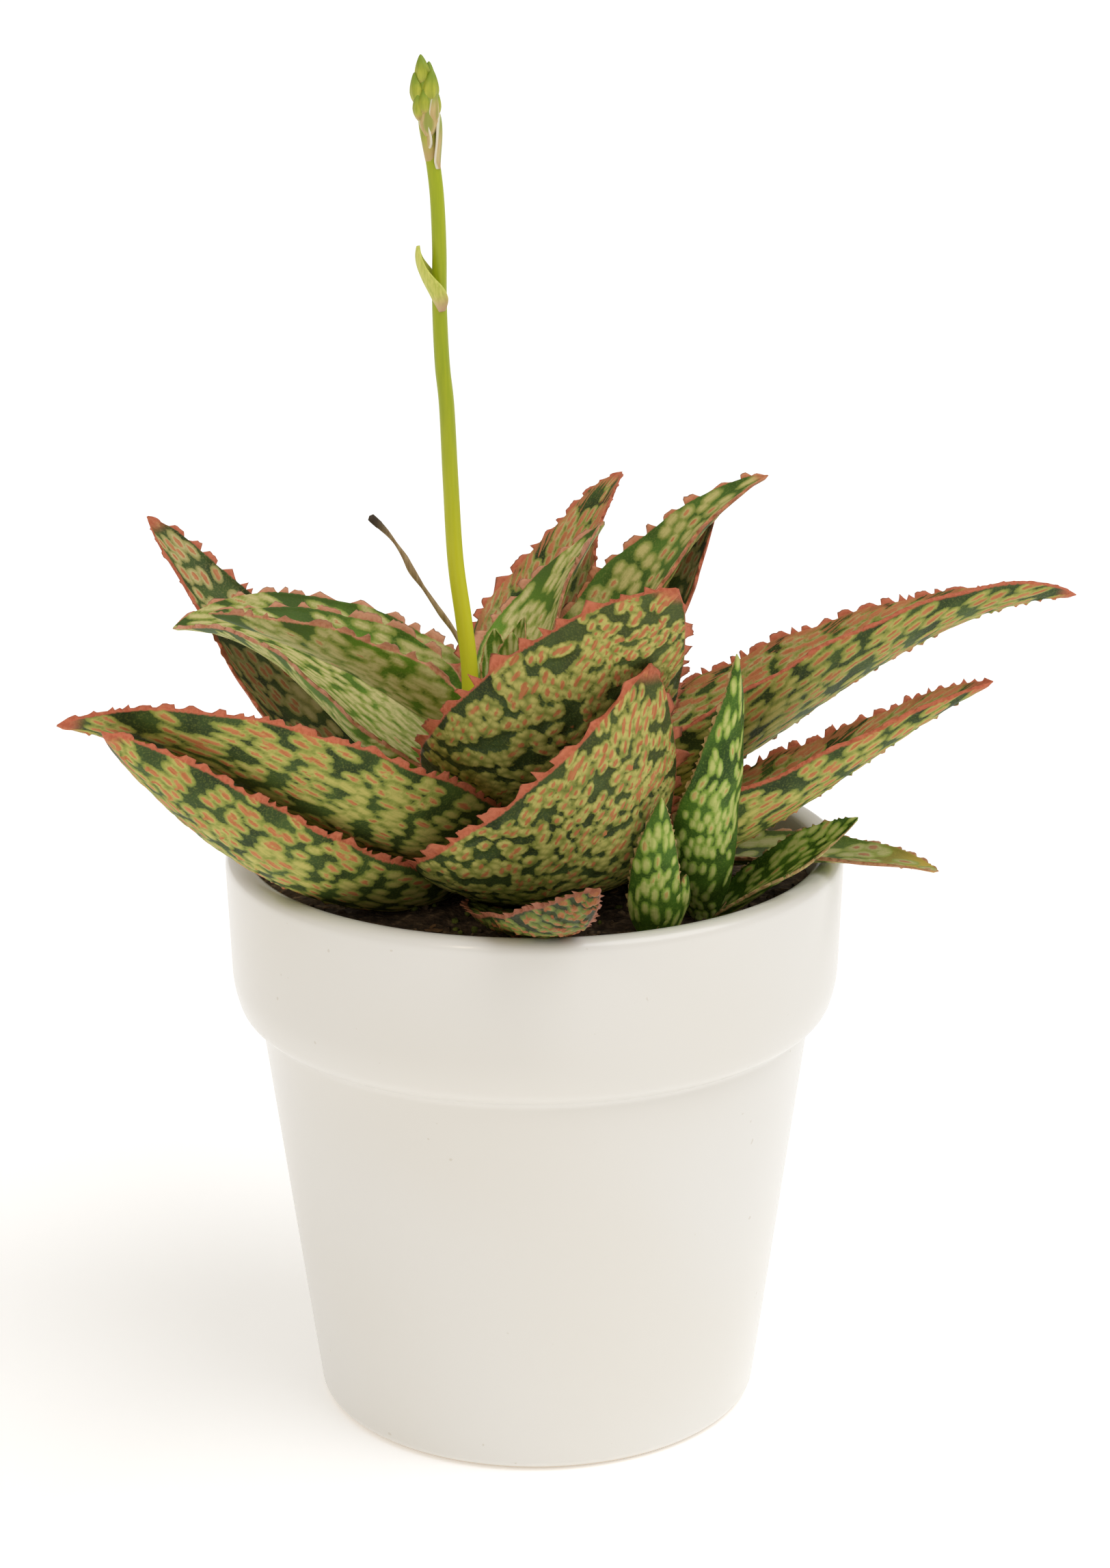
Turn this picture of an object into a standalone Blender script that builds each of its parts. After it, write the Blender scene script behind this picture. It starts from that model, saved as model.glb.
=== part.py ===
"""Potted star aloe: a rosette of toothed leaves with two offsets and a young flower spike,
growing in soil in a plain glazed ceramic pot. Metres, +Z up. The origin is the centre of
the flat underside of the pot, and -Y is the side that faces the viewer."""

import math
import random

import bmesh
import bpy
import numpy as np

MM = 0.001
GAP = 0.3 * MM

# Pot, radii and heights of the turned profile
POT_HEIGHT = 126.8 * MM
RIM_RADIUS = 67.5 * MM
RIM_INNER_RADIUS = 61.5 * MM
BAND_BOTTOM_RADIUS = 66.4 * MM
BAND_BOTTOM_Z = 97.0 * MM
BODY_TOP_RADIUS = 60.6 * MM
BODY_TOP_Z = 89.3 * MM
BASE_RADIUS = 48.6 * MM
POT_WALL = 5.0 * MM
POT_FLOOR = 6.0 * MM

# Soil and stem
SOIL_TOP_Z = 118.0 * MM
SOIL_BUMP = 0.7 * MM
STEM_X = -8.0 * MM
STEM_RADIUS = 8.7 * MM
STEM_TOP_RADIUS = 5.2 * MM
STEM_SHOULDER_Z = 130.0 * MM
STEM_TOP_Z = 156.5 * MM
STEM_BOTTOM_Z = 96.0 * MM

# Leaf section and margin teeth
LEAF_THICKNESS_RATIO = 0.125
LEAF_THICKNESS_MAX = 4.4 * MM
LEAF_THICKNESS_MIN = 0.6 * MM
TOOTH_PITCH = 7.4 * MM
TOOTH_HEIGHT = 1.2 * MM
TIP_CHANNEL_RATIO = 0.62
WIDTH_ALONG = ((0.0, 0.32), (0.06, 0.56), (0.16, 0.88), (0.3, 1.0), (0.5, 0.91),
               (0.7, 0.68), (0.85, 0.42), (0.95, 0.18), (1.0, 0.014))
BASE_TAPER_END = 0.34

# Offsets at the rosette's foot, and the flower spike
OFFSET_TALL = (36.0 * MM, -27.0 * MM)
OFFSET_SMALL = (25.0 * MM, -42.0 * MM)
HEART = (-7.2 * MM, 0.0)
SPIKE_RADIUS = 1.95 * MM
SPIKE_TOP_RADIUS = 1.55 * MM

# Rosette leaves, outermost first. Root height, length and width are in mm, the rest in
# degrees: turn is the heading at the root and the tip, rise the slope at the root, the
# middle and the tip, channel half the arc of the hollow section, twist the roll at the tip.
# foot is how far the leaf narrows where it leaves the stem.
ROSETTE = (
    dict(name="leaf_front_short", root=122, turn=(273, 293), rise=(-8, 18, 34),
         length=100, width=20, channel=22, twist=24, foot=0.5),
    dict(name="leaf_right_lowest", root=120.6, turn=(3,-48), rise=(3.2, 8.6, 0),
         length=93.5, width=21.5, channel=30, twist=-6, foot=0.5),
    dict(name="leaf_back_right_low", root=122, turn=(58, 60), rise=(4, 10, 3),
         length=93, width=33, channel=36, twist=1, foot=0.6),
    dict(name="leaf_back_left_low", root=122, turn=(114, 114), rise=(2, 12, 1),
         length=93, width=32, channel=30, twist=5, foot=0.6),
    dict(name="leaf_left_low", root=122.8, turn=(225,227), rise=(-12,34,40),
         length=115, width=35, channel=56, twist=-23, foot=0.5),
    dict(name="leaf_front_broad", root=126, turn=(272, 350), rise=(-13, 45, 82),
         length=96, width=51, channel=20, twist=35, foot=0.5),
    dict(name="leaf_right_low", root=126, turn=(-29, -20), rise=(-9, 34, 27),
         length=116, width=40, channel=72, twist=-3, foot=0.45),
    dict(name="leaf_left_back", root=129, turn=(134, 149), rise=(-6, 36, 40),
         length=116, width=35, channel=45, twist=12, foot=0.6),
    dict(name="leaf_back_middle", root=130, turn=(87, 87), rise=(11, 12, -1),
         length=79, width=34, channel=60, twist=1, foot=0.6),
    dict(name="leaf_right_long", root=131.5, turn=(-1, 18), rise=(8, 31.5, -8),
         length=130, width=52, channel=72, twist=20, foot=0.5),
    dict(name="leaf_left_long", root=129, turn=(238, 195), rise=(4, 32, 6),
         length=112, width=50, channel=62, twist=-33, foot=1.0),
    dict(name="leaf_right_inner", root=138, turn=(26, 35), rise=(17, 57, 54),
         length=74, width=24, channel=44, twist=1, foot=1.0),
    dict(name="leaf_front_upper", root=138, turn=(283, 315), rise=(17, 46, 41),
         length=98, width=51, channel=36, twist=30, foot=1.0),
    dict(name="leaf_left_inner", root=136, turn=(129, 174), rise=(10, 30, -15),
         length=87, width=51, channel=61, twist=8, foot=0.6),
    dict(name="leaf_back_upright", root=143, turn=(79, 47), rise=(22, 51, 26),
         length=81, width=32, channel=34, twist=8, foot=1.0),
    dict(name="leaf_right_upright", root=146, turn=(34, 19), rise=(36, 51, 17),
         length=83, width=28, channel=49, twist=-6, foot=1.0),
    dict(name="leaf_back_young", root=150, turn=(79, 29), rise=(49, 45, 45),
         length=56, width=20, channel=56, twist=21, foot=1.0),
    dict(name="leaf_left_young", root=152, turn=(186, 183), rise=(42, 26, 14),
         length=62, width=32, channel=77, twist=-8, foot=1.0),
)

# Leaves of the two offsets and of the heart, fused into one node each. out is how far
# the leaf's root stands from that rosette's own middle, in mm.
OFFSET_TALL_LEAVES = (
    dict(root=118, turn=(259, 317), rise=(58, 63, 93), length=72, width=15, channel=54,
         twist=-2, foot=1.0, out=1.5),
    dict(root=118, turn=(-8, -4), rise=(40, 38, 34), length=38.5, width=13, channel=48,
         twist=-45, foot=1.0, out=1.5),
    dict(root=118, turn=(70, 60), rise=(40, 40, 46), length=13, width=8, channel=50,
         twist=0, foot=1.0, out=1.5),
    dict(root=118, turn=(200, 206), rise=(52, 60, 66), length=15, width=8, channel=50,
         twist=0, foot=1.0, out=1.5),
)
OFFSET_SMALL_LEAVES = (
    dict(root=118, turn=(266, 285), rise=(66, 70, 78), length=38, width=11, channel=48,
         twist=0, foot=1.0, out=1.5),
    dict(root=118, turn=(330, 310), rise=(50, 70, 84), length=18, width=8, channel=48,
         twist=0, foot=1.0, out=1.5),
    dict(root=118, turn=(120, 110), rise=(60, 66, 70), length=15, width=7, channel=48,
         twist=0, foot=1.0, out=1.5),
)
HEART_LEAVES = tuple(
    dict(root=158, turn=(angle, angle - 12), rise=(slope, slope + 6, slope + 12),
         length=size, width=0.36 * size + 2.0, channel=52, twist=0, foot=1.0, out=1.6)
    for angle, slope, size in ((300, 70, 18), (50, 66, 19), (10, 72, 15), (110, 74, 16),
                               (330, 60, 13))
)

# Flower spike and the withered old stalk: points through their middle, in mm
SPIKE_PATH = ((-13.6, 0, 157.0), (-13.9, 0, 167.0), (-15.0, 0, 177.0), (-16.6, 0, 190.0),
              (-17.4, 0, 207.0), (-18.0, 0, 223.0), (-18.8, 0, 232.0), (-19.2, 0, 244.0),
              (-19.1, 0, 256.0), (-19.4, 0, 266.0), (-20.0, 0, 271.7))
DRY_PATH = ((-10.5, 3.2, 157.3), (-12.4, 5.9, 162.0), (-15.0, 7.6, 168.0),
            (-17.6, 8.0, 172.6), (-20.2, 8.0, 176.4), (-23.2, 8.0, 181.0),
            (-26.2, 8.0, 185.6), (-28.0, 8.0, 189.2), (-31.2, 8.0, 193.8),
            (-35.2, 8.0, 197.8))
DRY_RADIUS = 0.75 * MM

MATERIALS = {
    "pot": ((0.86, 0.84, 0.80), 0.28),
    "soil": ((0.045, 0.032, 0.024), 0.95),
    "stem": ((0.28, 0.33, 0.12), 0.6),
    "leaf": ((0.09, 0.14, 0.06), 0.45),
    "young": ((0.16, 0.30, 0.06), 0.42),
    "spike": ((0.46, 0.47, 0.04), 0.4),
    "dry": ((0.32, 0.22, 0.10), 0.8),
}


def clear_scene():
    for obj in list(bpy.data.objects):
        bpy.data.objects.remove(obj, do_unlink=True)


def new_collection(name):
    collection = bpy.data.collections.new(name)
    bpy.context.scene.collection.children.link(collection)
    return collection


def make_material(name, kind):
    colour, roughness = MATERIALS[kind]
    material = bpy.data.materials.new(name)
    material.use_nodes = True
    shader = material.node_tree.nodes["Principled BSDF"]
    shader.inputs["Base Color"].default_value = (*colour, 1.0)
    shader.inputs["Roughness"].default_value = roughness
    return material


def add_object(name, mesh, collection, kind=None):
    obj = bpy.data.objects.new(name, mesh)
    collection.objects.link(obj)
    if kind:
        mesh.materials.clear()
        mesh.materials.append(make_material(name, kind))
    return obj


def bmesh_object(name, bm, collection, kind=None):
    mesh = bpy.data.meshes.new(name)
    bmesh.ops.recalc_face_normals(bm, faces=bm.faces)
    bm.to_mesh(mesh)
    bm.free()
    return add_object(name, mesh, collection, kind)


def evaluated_mesh(obj):
    """The object's mesh with its modifiers applied, on its own transform."""
    graph = bpy.context.evaluated_depsgraph_get()
    graph.update()
    return bpy.data.meshes.new_from_object(obj.evaluated_get(graph))


def freeze(obj, kind):
    """Replace a modified mesh or a curve by its welded mesh, and return the new object."""
    mesh = evaluated_mesh(obj)
    bm = bmesh.new()
    bm.from_mesh(mesh)
    bmesh.ops.remove_doubles(bm, verts=bm.verts, dist=0.01 * MM)
    bm.to_mesh(mesh)
    bm.free()
    name = obj.name
    home = obj.users_collection[0]
    matrix = obj.matrix_world.copy()
    bpy.data.objects.remove(obj, do_unlink=True)
    frozen = add_object(name, mesh, home, kind)
    frozen.matrix_world = matrix
    return frozen


def turned(name, profile, steps, collection, kind):
    """A solid of revolution from a closed or axis-to-axis profile of (radius, height)."""
    mesh = bpy.data.meshes.new(name)
    points = [(radius, 0.0, height) for radius, height in profile]
    mesh.from_pydata(points, [(i, i + 1) for i in range(len(points) - 1)], [])
    obj = add_object(name, mesh, collection)
    screw = obj.modifiers.new("turn", "SCREW")
    screw.steps = steps
    screw.render_steps = steps
    screw.use_merge_vertices = True
    screw.merge_threshold = 0.02 * MM
    return freeze(obj, kind)


def arc(centre, radius, start, end, count):
    """Points on a quarter or part circle in the profile plane, angles in degrees."""
    points = []
    for i in range(count + 1):
        angle = math.radians(start + (end - start) * i / count)
        points.append((centre[0] + radius * math.cos(angle),
                       centre[1] + radius * math.sin(angle)))
    return points


def pot_outer_profile():
    lip = 2.9 * MM
    points = arc((RIM_RADIUS - lip, POT_HEIGHT - lip), lip, 90, 0, 4)
    points += [(BAND_BOTTOM_RADIUS, BAND_BOTTOM_Z)]
    under_band = ((66.0, 94.4), (64.9, 92.4), (63.2, 90.8), (61.4, 89.8))
    points += [(radius * MM, height * MM) for radius, height in under_band]
    points += [(BODY_TOP_RADIUS, BODY_TOP_Z)]
    points += [(BASE_RADIUS + 0.4 * MM, 1.6 * MM), (BASE_RADIUS - 1.2 * MM, 0.0)]
    return points


def pot_inner_profile():
    """From the floor's middle up the inside to the lip."""
    return [
        (0.0, POT_FLOOR),
        (BASE_RADIUS - POT_WALL - 2.0 * MM, POT_FLOOR),
        (BASE_RADIUS - POT_WALL, POT_FLOOR + 2.0 * MM),
        (BODY_TOP_RADIUS - POT_WALL, BODY_TOP_Z + 1.0 * MM),
        (59.4 * MM, BAND_BOTTOM_Z - 2.0 * MM),
        (60.6 * MM, BAND_BOTTOM_Z + 4.0 * MM),
        (RIM_INNER_RADIUS, POT_HEIGHT - 2.6 * MM),
    ]


def build_pot(collection):
    lip = arc((RIM_INNER_RADIUS + 2.6 * MM, POT_HEIGHT - 2.6 * MM), 2.6 * MM, 165, 90, 3)
    profile = [(0.0, 0.0)] + pot_outer_profile()[::-1] + lip[::-1] + pot_inner_profile()[::-1]
    return turned("pot", profile[::-1], 56, collection, "pot")


def soil_height(x, y):
    """Gentle lumps of the soil's top, as an offset from its mean height."""
    u, v = x / MM, y / MM
    lumps = math.sin(0.31 * u + 1.3) * math.cos(0.27 * v - 0.6)
    lumps += 0.6 * math.sin(0.63 * u - 0.48 * v + 2.1)
    return SOIL_BUMP * lumps / 1.6


def build_soil(collection, cutters):
    inner = pot_inner_profile()[1:-1]
    side = [(radius - GAP, height + GAP) for radius, height in inner]
    edge = (RIM_INNER_RADIUS - GAP - 0.5 * MM, SOIL_TOP_Z - 1.0 * MM)
    rings = [(radius * MM, SOIL_TOP_Z) for radius in (10, 20, 29, 38, 46, 53, 58)]
    profile = [(0.0, SOIL_TOP_Z)] + rings + [edge] + side[::-1] + [(0.0, POT_FLOOR + GAP)]
    soil = turned("soil", profile, 40, collection, "soil")
    for vertex in soil.data.vertices:
        if vertex.co.z > SOIL_TOP_Z - 0.1 * MM:
            vertex.co.z += soil_height(vertex.co.x, vertex.co.y)
    holes = (
        ("stem_hole", (STEM_X, 0.0), STEM_RADIUS + GAP, STEM_BOTTOM_Z - GAP),
        ("offset_tall_hole", OFFSET_TALL, 8.0 * MM, 104.0 * MM),
        ("offset_small_hole", OFFSET_SMALL, 6.0 * MM, 106.0 * MM),
    )
    for name, (x, y), radius, bottom in holes:
        top = SOIL_TOP_Z + 8.0 * MM
        cut_cylinder(soil, name, (x, y), radius, bottom, top, cutters)
    return freeze(soil, "soil")


def cut_cylinder(target, name, centre, radius, bottom, top, cutters):
    bm = bmesh.new()
    bmesh.ops.create_cone(bm, cap_ends=True, segments=24, radius1=radius, radius2=radius,
                          depth=top - bottom)
    cutter = bmesh_object(name, bm, cutters)
    cutter.location = (centre[0], centre[1], (top + bottom) / 2)
    cutter.hide_render = True
    cutter.display_type = "WIRE"
    cut = target.modifiers.new(name, "BOOLEAN")
    cut.operation = "DIFFERENCE"
    cut.object = cutter


def stem_radius(height):
    part = (height - STEM_SHOULDER_Z) / (155.0 * MM - STEM_SHOULDER_Z)
    return STEM_RADIUS + (STEM_TOP_RADIUS - STEM_RADIUS) * min(1.0, max(0.0, part))


def build_stem(collection):
    heights = (STEM_TOP_Z - 0.6 * MM, 148 * MM, 139 * MM, STEM_SHOULDER_Z, 122 * MM, 108 * MM)
    side = [(stem_radius(height), height) for height in heights]
    profile = [(0.0, STEM_TOP_Z), (STEM_TOP_RADIUS - 0.7 * MM, STEM_TOP_Z)] + side
    profile += [(STEM_RADIUS - 0.8 * MM, STEM_BOTTOM_Z), (0.0, STEM_BOTTOM_Z)]
    stem = turned("stem", profile, 20, collection, "stem")
    stem.location.x = STEM_X
    return stem


def leaf_width(s, foot):
    """Share of the full width at s, from the root (0) to the tip (1)."""
    places = [place for place, _ in WIDTH_ALONG]
    shares = [share for _, share in WIDTH_ALONG]
    share = np.interp(s, places, shares)
    return share * (1.0 - (1.0 - foot) * np.clip(1.0 - s / BASE_TAPER_END, 0.0, 1.0))


def leaf_spine(leaf, start, count):
    """Points along the leaf's middle with its forward, upper and sideways directions."""
    s = np.linspace(0.0, 1.0, count)
    first, middle, last = leaf["rise"]
    slope = first * (1 - s) * (1 - 2 * s) + middle * 4 * s * (1 - s) + last * s * (2 * s - 1)
    heading = leaf["turn"][0] + (leaf["turn"][1] - leaf["turn"][0]) * s
    e, a = np.radians(slope), np.radians(heading)
    ahead = np.stack([np.cos(e) * np.cos(a), np.cos(e) * np.sin(a), np.sin(e)], -1)
    above = np.stack([-np.sin(e) * np.cos(a), -np.sin(e) * np.sin(a), np.cos(e)], -1)
    beside = np.stack([-np.sin(a), np.cos(a), 0 * a], -1)
    step = leaf["length"] * MM / (count - 1)
    moves = (ahead[1:] + ahead[:-1]) * 0.5 * step
    points = np.vstack([start, start + np.cumsum(moves, axis=0)])
    roll = np.radians(leaf["twist"] * s)[:, None]
    upper = above * np.cos(roll) + beside * np.sin(roll)
    side = beside * np.cos(roll) - above * np.sin(roll)
    return s, points, upper, side


def leaf_start(leaf, middle):
    """The root point: on the stem, or at its distance from an offset's middle."""
    root = leaf["root"] * MM
    if "out" in leaf:
        out = leaf["out"] * MM
    else:
        part = min(1.0, max(0.0, (leaf["root"] - 130) / 25))
        out = (9.5 - 3.5 * part) * MM
    angle = math.radians(leaf["turn"][0])
    return np.array([middle[0] + out * math.cos(angle), middle[1] + out * math.sin(angle), root])


def leaf_object(leaf, middle, collection, kind=None, tooth=TOOTH_HEIGHT):
    """A hollow-faced leaf, lofted ring by ring, with a tooth on each margin in turn."""
    start = leaf_start(leaf, middle)
    pitch = min(TOOTH_PITCH, leaf["length"] * MM / 5)
    rings = 2 * int(round(leaf["length"] * MM / pitch)) + 1
    s, points, upper, side = leaf_spine(leaf, start, rings)
    width = leaf["width"] * MM
    half = width / 2 * leaf_width(s, leaf["foot"])
    thick = min(LEAF_THICKNESS_RATIO * width, LEAF_THICKNESS_MAX)
    thick = thick * (1 - s) ** 0.6 * np.minimum(1.0, 0.62 + 1.9 * s)
    thick = np.maximum(thick, LEAF_THICKNESS_MIN)
    arc_half = np.radians(leaf["channel"] * (1 - (1 - TIP_CHANNEL_RATIO) * s))
    radius = half / arc_half
    bm = bmesh.new()
    grid = []
    for i in range(rings):
        toothed = 0.1 < s[i] < 0.97
        ring = []
        for t, lower in ((-1, 0), (-0.5, 0), (0, 0), (0.5, 0), (1, 0),
                         (0.5, 1), (0, 1), (-0.5, 1)):
            angle = t * arc_half[i]
            reach = radius[i] + lower * thick[i] * (1 - t * t) ** 0.7
            outward = side[i] * math.sin(angle) - upper[i] * math.cos(angle)
            point = points[i] + upper[i] * radius[i] + outward * reach
            if abs(t) == 1 and toothed and i % 2 == (t > 0):
                along = side[i] * math.cos(angle) * t + upper[i] * abs(math.sin(angle))
                point = point + along * tooth * (1 - 0.5 * s[i])
            ring.append(bm.verts.new(point - start))
        grid.append(ring)
    for i in range(rings - 1):
        for j in range(8):
            k = (j + 1) % 8
            a, b = grid[i][j], grid[i][k]
            c, d = grid[i + 1][k], grid[i + 1][j]
            # the same diagonal on both faces, counted from the -1 margin
            if j < 4:
                bm.faces.new((a, b, c))
                bm.faces.new((a, c, d))
            else:
                bm.faces.new((a, b, d))
                bm.faces.new((b, c, d))
    bm.faces.new(grid[0])
    bm.faces.new(grid[-1])
    obj = bmesh_object(leaf.get("name", "leaf"), bm, collection, kind)
    obj.location = start
    return obj


def union_all(name, pieces, collection, kind):
    """Fuse the pieces into the first of them with one Boolean on a collection."""
    base = pieces[0]
    group = bpy.data.collections.new(name + "_pieces")
    for piece in pieces[1:]:
        for home in piece.users_collection:
            home.objects.unlink(piece)
        group.objects.link(piece)
    bpy.context.scene.collection.children.link(group)
    fuse = base.modifiers.new("fuse", "BOOLEAN")
    fuse.operation = "UNION"
    fuse.operand_type = "COLLECTION"
    fuse.collection = group
    base.name = name
    fused = freeze(base, kind)
    for piece in list(group.objects):
        bpy.data.objects.remove(piece, do_unlink=True)
    bpy.data.collections.remove(group)
    for home in list(fused.users_collection):
        home.objects.unlink(fused)
    collection.objects.link(fused)
    return fused


def build_offset(name, middle, leaves, radius, bottom, collection, cutters):
    """A small rosette: a short stem set in the soil with its leaves fused to it."""
    top = SOIL_TOP_Z + 1.2 * MM
    bm = bmesh.new()
    bmesh.ops.create_cone(bm, cap_ends=True, segments=16, radius1=radius,
                          radius2=radius, depth=top - bottom)
    core = bmesh_object(name, bm, cutters)
    core.location = (middle[0], middle[1], (top + bottom) / 2)
    pieces = [core]
    for leaf in leaves:
        pieces.append(leaf_object(leaf, middle, cutters, tooth=0.7 * MM))
    return union_all(name, pieces, collection, "young")


def build_heart(collection, cutters):
    bm = bmesh.new()
    bmesh.ops.create_cone(bm, cap_ends=True, segments=12, radius1=3.2 * MM,
                          radius2=2.0 * MM, depth=5.0 * MM)
    core = bmesh_object("heart_leaves", bm, cutters)
    core.location = (HEART[0], HEART[1], STEM_TOP_Z + GAP + 2.5 * MM)
    pieces = [core]
    for leaf in HEART_LEAVES:
        pieces.append(leaf_object(leaf, HEART, cutters, tooth=0.35 * MM))
    return union_all("heart_leaves", pieces, collection, "young")


def tube(name, path, radii, collection, resolution=2):
    curve = bpy.data.curves.new(name, "CURVE")
    curve.dimensions = "3D"
    curve.bevel_depth = 1.0
    curve.bevel_resolution = resolution
    curve.use_fill_caps = True
    spline = curve.splines.new("POLY")
    spline.points.add(len(path) - 1)
    for point, (x, y, z), radius in zip(spline.points, path, radii):
        point.co = (x * MM, y * MM, z * MM, 1.0)
        point.radius = radius
    obj = bpy.data.objects.new(name, curve)
    collection.objects.link(obj)
    return freeze(obj, None)


def bract(base, heading, rise, length, width, cutters):
    """A small pointed bract that hugs the spike; base is in mm."""
    leaf = dict(root=base[2], turn=(heading, heading), rise=rise, length=length,
                width=width, channel=70, twist=0, foot=1.0, out=0.0)
    return leaf_object(leaf, (base[0] * MM, base[1] * MM), cutters, tooth=0.0)


def build_spike(collection, cutters):
    count = len(SPIKE_PATH)
    radii = [SPIKE_RADIUS + (SPIKE_TOP_RADIUS - SPIKE_RADIUS) * i / (count - 1)
             for i in range(count)]
    stalk = tube("flower_stalk", SPIKE_PATH, radii, cutters, 3)
    side_bract = bract((-19.4, -0.4, 242.6), 184, (62, 66, 96), 13.0, 6.0, cutters)
    return union_all("flower_stalk", [stalk, side_bract], collection, "spike")


def build_head(collection, cutters):
    """Closed buds in a spiral round a slim core, with four bracts below them."""
    draw = random.Random(7)
    core_path = ((-20.0, 0, 272.0), (-20.7, 0, 277.0), (-21.2, 0, 283.0),
                 (-21.6, 0, 287.5), (-22.0, 0, 291.5), (-22.1, 0, 294.0))
    pieces = [tube("flower_head", core_path,
                   [r * MM for r in (1.5, 1.6, 2.2, 2.3, 1.6, 0.6)], cutters)]
    levels = ((280.0, 2, 1.4, 3.4), (284.0, 4, 1.7, 3.6), (287.3, 4, 1.7, 3.6),
              (290.2, 3, 1.2, 3.2), (292.4, 1, 0.0, 2.9))
    turn = 20.0
    for height, number, out, size in levels:
        for i in range(number):
            angle = math.radians(turn + 360.0 * i / number + draw.uniform(-8, 8))
            bm = bmesh.new()
            bmesh.ops.create_uvsphere(bm, u_segments=6, v_segments=5, radius=1.0)
            for vertex in bm.verts:
                vertex.co.x *= size * 0.36 * MM
                vertex.co.y *= size * 0.36 * MM
                vertex.co.z *= size * (1.0 + 0.25 * (vertex.co.z > 0)) * MM
            bud = bmesh_object("bud", bm, cutters)
            bud.location = ((-21.5 + out * math.cos(angle)) * MM,
                            out * math.sin(angle) * MM, height * MM)
            bud.rotation_euler = (0.16 * math.sin(angle), -0.16 * math.cos(angle), 0.0)
            pieces.append(bud)
        turn += 47.0
    for heading, height, length in ((178, 275.4, 11.0), (8, 273.4, 10.5),
                                    (262, 280.6, 8.0), (80, 277.0, 9.0)):
        angle = math.radians(heading)
        base = (-20.6 + 0.7 * math.cos(angle), 0.7 * math.sin(angle), height)
        pieces.append(bract(base, heading, (68, 80, 96), length, 3.8, cutters))
    bpy.context.view_layer.update()
    return union_all("flower_head", pieces, collection, "spike")


def build_dry_stalk(collection):
    radii = [DRY_RADIUS * (1.0 + 0.12 * math.sin(2.1 * i)) for i in range(len(DRY_PATH))]
    stalk = tube("dry_stalk", DRY_PATH, radii, collection, 1)
    stalk.data.materials.append(make_material("dry_stalk", "dry"))
    return stalk


def main():
    clear_scene()
    parts = new_collection("potted_star_aloe")
    cutters = new_collection("cutters")
    plant = bpy.data.objects.new("plant", None)
    parts.objects.link(plant)
    build_pot(parts)
    build_soil(parts, cutters)
    grown = [build_stem(parts)]
    for leaf in ROSETTE:
        kind = "young" if leaf["root"] > 145 else "leaf"
        grown.append(leaf_object(leaf, (STEM_X, 0.0), parts, kind))
    grown.append(build_heart(parts, cutters))
    grown.append(build_offset("offset_tall", OFFSET_TALL, OFFSET_TALL_LEAVES,
                              7.7 * MM, 104.3 * MM, parts, cutters))
    grown.append(build_offset("offset_small", OFFSET_SMALL, OFFSET_SMALL_LEAVES,
                              5.7 * MM, 106.3 * MM, parts, cutters))
    grown.append(build_spike(parts, cutters))
    grown.append(build_head(parts, cutters))
    grown.append(build_dry_stalk(parts))
    for piece in grown:
        piece.parent = plant


main()
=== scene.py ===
"""Potted star aloe, dressed for looking at. Run as a script in Blender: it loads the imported
model, swaps the plain leaves for finely toothed and spotted ones, glazes the pot, crumbles
the soil and sets up a studio. Metres, +Z up, -Y is the side that faces the viewer."""

import math
import random
from collections import namedtuple

import bmesh
import bpy
import numpy as np
from mathutils import Matrix, Vector, noise


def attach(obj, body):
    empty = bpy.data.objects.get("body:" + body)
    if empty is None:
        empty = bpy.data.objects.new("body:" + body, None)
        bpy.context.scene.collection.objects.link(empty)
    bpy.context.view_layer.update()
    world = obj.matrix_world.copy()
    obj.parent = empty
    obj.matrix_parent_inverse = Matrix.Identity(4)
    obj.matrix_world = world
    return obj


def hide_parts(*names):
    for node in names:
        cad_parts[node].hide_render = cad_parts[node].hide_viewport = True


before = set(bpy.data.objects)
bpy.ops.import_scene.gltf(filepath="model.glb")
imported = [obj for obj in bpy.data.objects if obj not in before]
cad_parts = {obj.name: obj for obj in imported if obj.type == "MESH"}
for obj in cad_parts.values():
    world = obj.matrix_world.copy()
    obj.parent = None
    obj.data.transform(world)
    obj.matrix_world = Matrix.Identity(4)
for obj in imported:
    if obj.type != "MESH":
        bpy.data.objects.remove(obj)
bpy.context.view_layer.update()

bl_info = {
    "name": "Potted Star Aloe",
    "version": (1, 0, 0),
    "blender": (4, 5, 0),
    "location": "3D View > Sidebar > Star Aloe",
    "description": "A spotted rosette succulent in a glazed pot, built piece by piece",
    "category": "Add Mesh",
}

MM = 0.001
STEM = (-8.0, 0.0)      # where the main stem stands, in mm
SOIL_TOP = 118.0
SOIL_RADIUS = 60.4
MARGIN = 0.42           # how thick a leaf's margin stays, in mm
OUTSIDE = -1.5          # value of a point that lies in no spot, and of one in no dash
FINE_STEP = 0.45 * MM   # mesh of the small leaves
BRACT_STEP = 0.3 * MM
WELD = 1e-6
ROW_PITCH = 1.45        # from one row of spots to the next, in spot lengths
TIP_PRICKLES = 110      # horny points on the spiny leaf's tip
CRUMB_COUNT = 640
CRUMB_REACH = 57.0      # how far from the pot's middle crumbs lie, in mm
ANY_TURN = 6.3          # a full circle or a little more, for drawing a phase

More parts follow.
